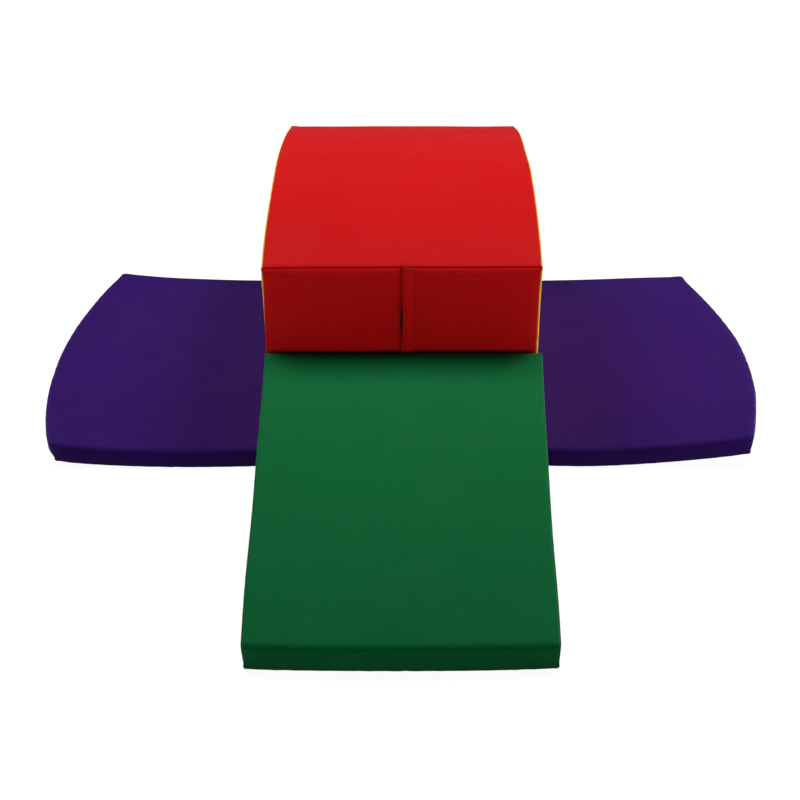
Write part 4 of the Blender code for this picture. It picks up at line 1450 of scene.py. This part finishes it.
@dataclass
class Ramp:
    """The green wedge: its top cover folds down over a low lip at the front."""

    looks: Looks
    back_height: float = 0.308
    lip_height: float = 0.060
    fold: float = 0.014
    fold_points: int = 13
    top_crown: float = 0.004
    side_crown: float = 0.003
    lip_crown: float = 0.010
    back_lift: float = 0.0075
    back_reach: float = 0.075
    back_flare: float = 0.0098
    front_taper: float = 0.0055
    taper_share: float = 0.6
    foam_inset: float = 0.0048
    foam_radius: float = 0.014
    step: float = 0.0052
    zip: LowZip = LowZip(0.275)
    seam: Seam = Seam(roll=0.0018, soft=0.0026, reach=0.020, lip=0.005)

    def __post_init__(self) -> None:
        """Finds the lip's place and the top's profile, and makes the shell."""
        floor_low, floor_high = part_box("ramp_base_cloth")
        self.front, self.width = floor_low.y, floor_high.x - floor_low.x
        self.run = floor_high.y - floor_low.y
        self.slope = math.atan((self.back_height - self.lip_height) / self.run)
        foot = s = self.seam.inset
        self.base_end = self.run - s * (1 + math.sin(self.slope))
        self.seam_top = self.lip_height + self.base_end * math.tan(self.slope) - s * math.cos(self.slope)
        half, front, back = self.width / 2 - s, self.front + s, self.front + self.run - s
        lip_top, back_top = self.lip_height - s, self.seam_top
        lines, pushes = [], []
        for side in (-1, 1):
            x = side * half
            lines += [SewnLine((x, front, lip_top), (x, back, back_top), (side, 0, 1)),
                      SewnLine((x, front, foot), (x, back, foot), (side, 0, -0.2)),
                      SewnLine((x, back, foot), (x, back, back_top), (side, 1, 0)),
                      SewnLine((x, front, foot), (x, front, lip_top), (side, -1, 0))]
            # The lip's lower corners are drawn in, the left one more, round a small ear.
            pushes += [Push((x, front, foot), (-side, 0.2, 0), 0.0029 - 0.0011 * side, 0.022),
                       Push((x, front, foot), (side, -0.7, 0), 0.0030, 0.004),
                       Push((x, back, foot), (side, 1, 0), 0.0030),
                       Push((x, back, back_top), (side, 0, 0.5), 0.0020)]
        lines += [SewnLine((-half, front, foot), (half, front, foot), (0, -1, -0.2)),
                  SewnLine((-half, back, back_top), (half, back, back_top), (0, 0.4, 1))]
        pushes.append(Push((half, front, foot), (0, 1, 0), 0.0026, 0.12))
        relief = Relief(lines, pushes, seed=23, foot_drop=s - 0.0008)
        middle = (0, self.front + 0.6 * self.run, self.back_height / 3)
        self.shell = Shell("ramp", middle, self.seam, relief, self.settle, self.looks)

    def top_at(self, y: Array) -> Array:
        """The slope's height at a distance from the lip."""
        return self.lip_height + (self.back_height - self.lip_height) * y / self.run

    def settle(self, points: Array) -> Array:
        """Crowns the sloped wedge: the top, both sides and the lip each swell by two bumps.

        Where the ramp is pushed against the block, its top rises as a square, and its right side
        spreads as a square of the way along. It narrows evenly towards the lip.
        """
        x, y, z = points[..., 0], points[..., 1] - self.front, points[..., 2]
        share = np.clip(z / self.top_at(y), 0, 1)
        across, along = x / (self.width / 2), 2 * y / self.run - 1
        side = self.side_crown * across * bulge(along) * bulge(2 * share - 1)
        crown = self.top_crown * share * bulge(across) * bulge(along)
        lip = self.lip_crown * np.clip(-along, 0, 1) * bulge(across) ** 0.5 * bulge(share - 0.5)
        lift = self.back_lift * share * np.clip(1 - (self.run - y) / self.back_reach, 0, 1) ** 2
        flare = self.back_flare * share * np.clip(across, 0, 1) * np.clip(y / self.run, 0, 1) ** 2
        narrow = self.front_taper * np.clip(1 - y / (self.taper_share * self.run), 0, 1)
        return triple(x * (1 - narrow) + side + flare, points[..., 1] - lip, z + crown + lift)

    def profile(self, inset: float) -> tuple[Array, Array]:
        """The top's line from its foot up the lip, round the fold and up the slope.

        Args:
            inset: How far inside the faces it runs.

        Returns:
            Its points (y, z), and the ways into the foam there.
        """
        tilt, turn, count = self.slope, math.pi / 2 + self.slope, self.fold_points
        centre = (self.fold, self.lip_height + self.fold * math.tan(tilt) - self.fold / math.cos(tilt))
        round_part = arc(centre, self.fold - inset, math.pi, turn, count)
        ways = -unit(arc((0, 0), 1, math.pi, turn, count))
        end_y = self.base_end if inset == 0 else self.run - inset
        end_z = self.lip_height + end_y * math.tan(tilt) - inset / math.cos(tilt)
        line = np.concatenate([[(inset, self.seam.inset)], round_part, [(end_y, end_z)]])
        return line, np.concatenate([[(1, 0)], ways, [(math.sin(tilt), -math.cos(tilt))]])

    def build(self) -> None:
        """Makes the covers, the foam, the zip and the hook strips."""
        self.build_top()
        self.build_sides()
        self.build_back()
        self.build_base()
        s, back, top = self.foam_inset, self.front + self.run, self.back_height - 2 * self.foam_inset

        def sloped(points: Array) -> Array:
            """Lowers the foam's top to the slope."""
            below = self.top_at(points[..., 1] - self.front) - 2 * s
            return triple(points[..., 0], points[..., 1], s + (points[..., 2] - s) / top * below)

        def place(run: Array, across: Array, depth: Array) -> Array:
            """Puts a point of the zip in its place low in the back."""
            return triple(run, back - depth, self.zip.height + across)

        self.shell.foam((-self.width / 2 + s, self.front + s, s), (self.width / 2 - s, back - s, s + top),
                        self.foam_radius, sloped)
        self.zip.build("ramp", 0.0, place, self.looks)
        for side in Side:
            Strip("ramp", f"ramp_hook_{side.word}", 1, 1).build(self.looks)

    def across(self, step: float) -> Array:
        """Grid lines between the side seams."""
        half = self.width / 2 - self.seam.inset
        return self.seam.lines(-half, half, step)

    def build_top(self) -> None:
        """One panel from the front seam up the lip, round the fold and up to the back seam."""
        across = self.across(self.step)
        runs, place, way = self.seam.sweep(*self.profile(0.0), self.step)
        base = triple(across[:, None], self.front + place[:, 0], place[:, 1])
        self.shell.panel("top", base, triple(0.0, way[:, 0], way[:, 1]), edge_distance(across, runs),
                         Slot.GREEN, "top_cover")

    def build_sides(self) -> None:
        """The wedge-shaped sides, as patches between the foot, the lip, the slope and the back."""
        s, middle, tall = self.seam.inset, 1 + self.fold_points // 2, 0.5 * self.back_height
        line, _ = self.profile(s)
        foot = np.array([(s, s), (self.run - s, s)])
        back = np.array([(self.run - s, s), tuple(line[-1])])
        shares = self.seam.lines(0, self.run, self.step) / self.run
        rises = self.seam.lines(0, tall, self.step) / tall
        patch = side_patch(foot, line[middle:], line[:middle + 1], back, shares, rises)
        rest = np.concatenate([line, back[:1]])
        sewn = nearest(line_distance(patch, foot), line_distance(patch, rest))
        for side in Side:
            base = triple(side.value * self.width / 2, self.front + patch[..., 0], patch[..., 1])
            self.shell.panel(f"side_{side.word}", base, (-side.value, 0, 0), sewn, Slot.GREEN,
                             f"side_cover_{side.word}")

    def build_back(self) -> None:
        """The back, sewn along its top and sides, and folded back above the zip."""
        across = self.across(self.step)
        x = across[:, None]
        low = self.zip.height + self.zip.slot(x)
        z = low + (self.seam_top - low) * self.seam.lines(0, self.seam_top, self.step)[None] / self.seam_top
        sewn = nearest(x - across[0], across[-1] - x, self.seam_top - z)
        self.shell.panel("back", triple(x, self.front + self.run, z), (0, -1, 0), sewn, Slot.GREEN,
                         "back_cover", self.zip.cover_hem.dip(z - low))

    def build_base(self) -> None:
        """The base cloth, which turns up at the back as far as the zip."""
        turn, bend = self.zip.turn, (-math.pi / 2, 0, self.zip.turn_points)
        line = np.concatenate([[(self.seam.inset, 0.0)], arc((self.run - turn, turn), turn, *bend)])
        ways = np.concatenate([[(0, 1)], -arc((0, 0), 1, *bend)])
        runs, place, way = self.seam.sweep(line, ways, 2.5 * self.step)
        across = self.across(2.5 * self.step)
        x = across[:, None]
        z = place[:, 1] + self.zip.turned_up(distances(line)[-1] - runs, x)
        sewn = nearest(x - across[0], across[-1] - x, runs[None])
        self.shell.panel("base", triple(x, self.front + place[:, 0], z), triple(0.0, way[:, 0], way[:, 1]),
                         sewn, Slot.BASE, "base_cloth", self.zip.base_hem.dip(runs[-1] - runs))


@dataclass
class Mat:
    """One purple mat: its outer end is a shallow arc and curls up a little off the floor."""

    looks: Looks
    side: Side
    front_curl: float
    back_curl: float
    curl_power: float
    corner_tuck: float
    reach_out: float
    arc_bumps: tuple[tuple[float, float, float], ...]
    back_ear: float
    lip_crown: float
    skew: float = 0.0065
    length: float = 0.513
    arc_depth: float = 0.068
    thickness: float = 0.050
    top_crown: float = 0.004
    curl_start: float = 0.115
    fold: float = 0.011
    fold_points: int = 9
    skin: float = 0.0014
    zip_margin: float = 0.030
    foam_inset: float = 0.0044
    foam_radius: float = 0.014
    step: float = 0.0052
    seam: Seam = Seam(roll=0.0018, soft=0.0022, reach=0.018, lip=0.0045)

    def __post_init__(self) -> None:
        """Finds where the mat lies beside the block, and makes the shell."""
        self.name = f"mat_{self.side.word}"
        low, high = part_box(f"{self.name}_base_cloth")
        block_low, block_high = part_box("block_base_cloth")
        self.front, self.depth = block_low.y, block_high.y - block_low.y
        self.inner = low.x if self.side is Side.RIGHT else -high.x
        self.zip = LowZip(self.depth / 2 - self.zip_margin)
        foot = s = self.seam.inset
        end, top = self.length - s, self.thickness - s
        front, back = self.front + s, self.front + self.depth - s
        lines, pushes = [], []
        for y, out in ((front, -1), (back, 1)):
            lines += [SewnLine((s, y, foot), (end, y, foot), (0, out, -0.2)),
                      SewnLine((end, y, foot), (end, y, top), (1, out, 0))]
            pushes += [Push((end, y, foot), (1, out, 0), 0.0030, 0.005),
                       Push((s, y, foot), (0, out, 0), 0.0030)]
        pushes += [Push((end, front, foot), (-1, 0.2, 0), self.corner_tuck, 0.030),
                   Push((end, back, top), (1, 1, 0.3), self.back_ear, 0.022)]
        lines += [SewnLine((end, front, top), (end, back, top), (1, 0, 1)),
                  SewnLine((end, front, foot), (end, back, foot), (1, 0, -0.2)),
                  SewnLine((s, front, top), (s, back, top), (-0.2, 0, 1))]
        relief = Relief(lines, pushes, seed=31 + self.side.value, foot_drop=s - 0.0008, waviness=0.0008)
        middle = (self.side.value * (self.inner + self.length / 2), self.front + self.depth / 2,
                  self.thickness / 2 + 0.01)
        self.shell = Shell(self.name, middle, self.seam, relief, self.settle, self.looks)

    def settle(self, points: Array) -> Array:
        """Lays the flat mat out: x runs out from its inner face until this turns it into the frame.

        The outer end swells into an arc, with a slant and a few bumps of its own. The top crowns, and
        the outer part curls up as a power of the way out, by a different height at the front and at
        the back.
        """
        x, y, z = points[..., 0], points[..., 1] - self.front, points[..., 2]
        raised = np.clip((z - self.skin) / (self.thickness - 2 * self.skin), 0, 1)
        along = np.clip(2 * y / self.depth - 1, -1, 1)
        far = np.clip(x / (self.length - self.skin), 0, 1)
        slant = self.reach_out - self.skew * along
        uneven = sum(height * bulge((along - place) / half) for place, half, height in self.arc_bumps)
        outward = x + (self.arc_depth * bulge(along) + slant + uneven) * far
        swell = bulge(np.clip(2 * x / self.length - 1, -1, 1))
        crown = self.top_crown * raised * swell * bulge(along)
        reach = self.length + self.arc_depth - self.curl_start
        curled = np.clip((outward - self.curl_start) / reach, 0, None)
        highest = self.front_curl + (self.back_curl - self.front_curl) * y / self.depth
        curl = highest * curled ** self.curl_power
        edge = self.lip_crown * along ** 3 * swell ** 0.5 * bulge(z / self.thickness - 0.5)
        return triple(self.side.value * (self.inner + outward), points[..., 1] + edge, z + crown + curl)

    def profile(self, inset: float) -> tuple[Array, Array]:
        """The top's line up the front, over both folds and down the back, and the ways into the foam."""
        deep, radius, high = self.depth, self.fold, self.thickness - self.fold
        line, ways = [[(inset, self.seam.inset)]], [[(1, 0)]]
        for centre, start in ((radius, math.pi), (deep - radius, math.pi / 2)):
            bend = (start, start - math.pi / 2, self.fold_points)
            line.append(arc((centre, high), radius - inset, *bend))
            ways.append(-arc((0, 0), 1, *bend))
        line.append([(deep - inset, self.seam.inset)])
        ways.append([(-1, 0)])
        return np.concatenate(line), np.concatenate(ways)

    def build(self) -> None:
        """Makes the covers, the foam, the zip and the hook strip."""
        self.build_top()
        self.build_ends()
        self.build_base()
        s, back = self.foam_inset, self.front + self.depth
        self.shell.foam((s, self.front + s, s), (self.length - s, back - s, self.thickness - s),
                        self.foam_radius)

        def place(run: Array, across: Array, depth: Array) -> Array:
            """Puts a point of the zip in its place low in the inner face."""
            return triple(self.side.value * (self.inner + depth), run, self.zip.height + across)

        self.zip.build(self.name, self.front + self.depth / 2, place, self.looks)
        Strip(self.name, f"{self.name}_hook", 0, -self.side.value).build(self.looks)

    def build_top(self) -> None:
        """One panel over the top that folds down to the floor at the front and the back."""
        outward = self.seam.lines(self.seam.inset, self.length - self.seam.inset, self.step)
        runs, place, way = self.seam.sweep(*self.profile(0.0), self.step)
        base = triple(outward[:, None], self.front + place[:, 0], place[:, 1])
        self.shell.panel("top", base, triple(0.0, way[:, 0], way[:, 1]), edge_distance(outward, runs),
                         Slot.PURPLE, "top_cover")

    def build_ends(self) -> None:
        """The outer arc and the inner face, as patches under the top's line."""
        s, deep, tall = self.seam.inset, self.depth, self.thickness
        line, _ = self.profile(s)
        first = 1 + self.fold_points // 2
        last = first + self.fold_points
        over, near, far = line[first:last + 1], line[:first + 1], line[last:][::-1]
        shares = self.seam.lines(0, deep, self.step) / deep
        rises = self.seam.lines(0, tall, 0.6 * self.step) / tall
        foot = np.array([(s, s), (deep - s, s)])
        patch = side_patch(foot, over, near, far, shares, rises)
        sewn = nearest(line_distance(patch, foot), line_distance(patch, line))
        self.shell.panel("arc", triple(self.length, self.front + patch[..., 0], patch[..., 1]), (-1, 0, 0),
                         sewn, Slot.PURPLE, "arc_cover")
        y = s + (deep - 2 * s) * shares
        low = self.zip.height + self.zip.slot(y - deep / 2)
        foot, near, far = np.stack([y, low], axis=1), near.copy(), far.copy()
        near[0, 1], far[0, 1] = low[0], low[-1]
        patch = side_patch(foot, over, near, far, shares, rises)
        rest = np.concatenate([near[:1], line[1:-1], far[:1]])
        self.shell.panel("inner", triple(0.0, self.front + patch[..., 0], patch[..., 1]), (1, 0, 0),
                         line_distance(patch, rest), Slot.PURPLE, "inner_cover",
                         self.zip.cover_hem.dip(line_distance(patch, foot)))

    def build_base(self) -> None:
        """The base cloth, which turns up at the inner face as far as the zip."""
        s, turn, bend = self.seam.inset, self.zip.turn, (math.pi, 3 * math.pi / 2, self.zip.turn_points)
        line = np.concatenate([arc((turn, turn), turn, *bend), [(self.length - s, 0.0)]])
        ways = np.concatenate([-arc((0, 0), 1, *bend), [(0, 1)]])
        runs, place, way = self.seam.sweep(line, ways, 2.5 * self.step)
        along = self.seam.lines(s, self.depth - s, 2.5 * self.step)
        run, y = runs[:, None], along[None]
        z = place[:, 1:] + self.zip.turned_up(run, y - self.depth / 2)
        sewn = nearest(y - along[0], along[-1] - y, runs[-1] - run)
        self.shell.panel("base", triple(place[:, :1], self.front + y, z),
                         triple(way[:, :1], 0.0, way[:, 1:]), sewn, Slot.BASE, "base_cloth",
                         self.zip.base_hem.dip(run))


# The studio


@dataclass
class Studio:
    """A plain white floor, four soft lamps, and the camera at the photograph's angle."""

    eye: Place = (0.0093, -2.7738, 1.7619)
    pitch: float = 0.53430
    yaw: float = -0.0048
    roll: float = -0.0028
    focal_pixels: float = 1348.94
    image_pixels: float = 800.0
    sensor: float = 36.0
    clip: tuple[float, float] = (0.05, 60.0)
    floor_size: float = 24.0
    floor_level: float = -0.0002
    sky: float = 0.02
    sky_sheen: float = 0.20
    side_power: tuple[float, float] = (12.0, 34.0)
    side_size: tuple[float, float] = (3.0, 0.2)
    side_place: Place = (2.2, 0.75, 0.15)
    lamp_power: tuple[float, float] = (33.5, 36.5)
    lamp_size: tuple[float, float] = (1.0, 0.7)
    lamp_place: Place = (0.92, 0.48, 2.6)

    def build(self) -> None:
        """Sets the view, the world, the floor, the lamps and the camera."""
        bpy.context.scene.view_settings.view_transform = "Standard"
        self.build_world()
        self.build_floor()
        self.build_lamps()
        self.build_camera()

    def build_camera(self) -> None:
        """Places the camera by its heading, its tilt down and its slight roll."""
        level = math.cos(self.pitch)
        ahead = Vector((math.sin(self.yaw) * level, math.cos(self.yaw) * level, -math.sin(self.pitch)))
        right = Vector((math.cos(self.yaw), -math.sin(self.yaw), 0.0))
        up = right.cross(ahead)
        turned_right = math.cos(self.roll) * right + math.sin(self.roll) * up
        turned_up = -math.sin(self.roll) * right + math.cos(self.roll) * up
        data = bpy.data.cameras.new("camera")
        data.sensor_width = self.sensor
        data.lens = self.focal_pixels / self.image_pixels * self.sensor
        data.clip_start, data.clip_end = self.clip
        camera = bpy.data.objects.new("camera", data)
        axes = Matrix((turned_right, turned_up, -ahead)).transposed().to_4x4()
        camera.matrix_world = Matrix.Translation(self.eye) @ axes
        bpy.context.scene.collection.objects.link(camera)
        bpy.context.scene.camera = camera

    def build_world(self) -> None:
        """White where the camera looks past the floor, and a low even sky for the light itself."""
        world = bpy.data.worlds.new("studio")
        world.use_nodes = True
        nodes = Nodes(world.node_tree)
        background = world.node_tree.nodes["Background"].inputs
        path = nodes.add("LightPath")
        nodes.set(background["Color"], (1.0, 1.0, 1.0))
        nodes.set(background["Strength"], nodes.largest(path["Is Camera Ray"], path["Is Transmission Ray"],
                                                        path["Is Glossy Ray"] * self.sky_sheen, self.sky))
        bpy.context.scene.world = world

    def build_floor(self) -> None:
        """A flat white square floor."""
        corners = self.floor_size / 2 * np.array([(-1, -1), (1, -1), (1, 1), (-1, 1)])
        points = triple(corners[:, 0], corners[:, 1], self.floor_level)
        floor = add_mesh("floor", (points, [np.array([[0, 1, 2, 3]])]), StudioFloor().make("floor"))

    def build_lamps(self) -> None:
        """A soft lamp above each mat, facing down, and a low long one on each side, facing in."""
        kinds = (("overhead", self.lamp_power, self.lamp_size, self.lamp_place, (0, 0, -1)),
                 ("side", self.side_power, self.side_size, self.side_place, (-1, 0, 0)))
        for kind, powers, size, place, towards in kinds:
            for side, power in zip(Side, powers):
                mirror = Vector((side.value, 1, 1))
                self.add_lamp(f"{kind}_{side.word}", power, size, Vector(place) * mirror,
                              Vector(towards) * mirror)

    @staticmethod
    def add_lamp(name: str, power: float, size: tuple[float, float], place: Vector, towards: Vector) -> None:
        """Adds a soft oblong lamp that faces a direction."""
        data = bpy.data.lights.new(name, "AREA")
        data.energy = power
        data.shape = "RECTANGLE"
        data.size, data.size_y = size
        lamp = bpy.data.objects.new(name, data)
        lamp.matrix_world = Matrix.Translation(place) @ towards.to_track_quat("-Z", "Y").to_matrix().to_4x4()
        bpy.context.scene.collection.objects.link(lamp)


def main() -> None:
    """Builds the climber module by module, then the studio."""
    logging.basicConfig(level=logging.INFO, format="%(name)s: %(message)s")
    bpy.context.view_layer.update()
    looks = Looks()
    Studio().build()
    Block(looks).build()
    Ramp(looks).build()
    Mat(looks, Side.LEFT, front_curl=0.020, back_curl=0.037, curl_power=2.4, corner_tuck=0.014,
        reach_out=0.0, arc_bumps=((0.4, 0.8, -0.0050), (-0.65, 0.35, 0.0030)), back_ear=0.0035,
        lip_crown=0.012).build()
    Mat(looks, Side.RIGHT, front_curl=0.043, back_curl=0.018, curl_power=1.5, corner_tuck=0.005,
        reach_out=-0.0030, arc_bumps=((0.55, 0.45, -0.0045), (-1.0, 0.45, -0.0050)), back_ear=0.0065,
        lip_crown=0.008).build()


if __name__ == "__main__":
    main()
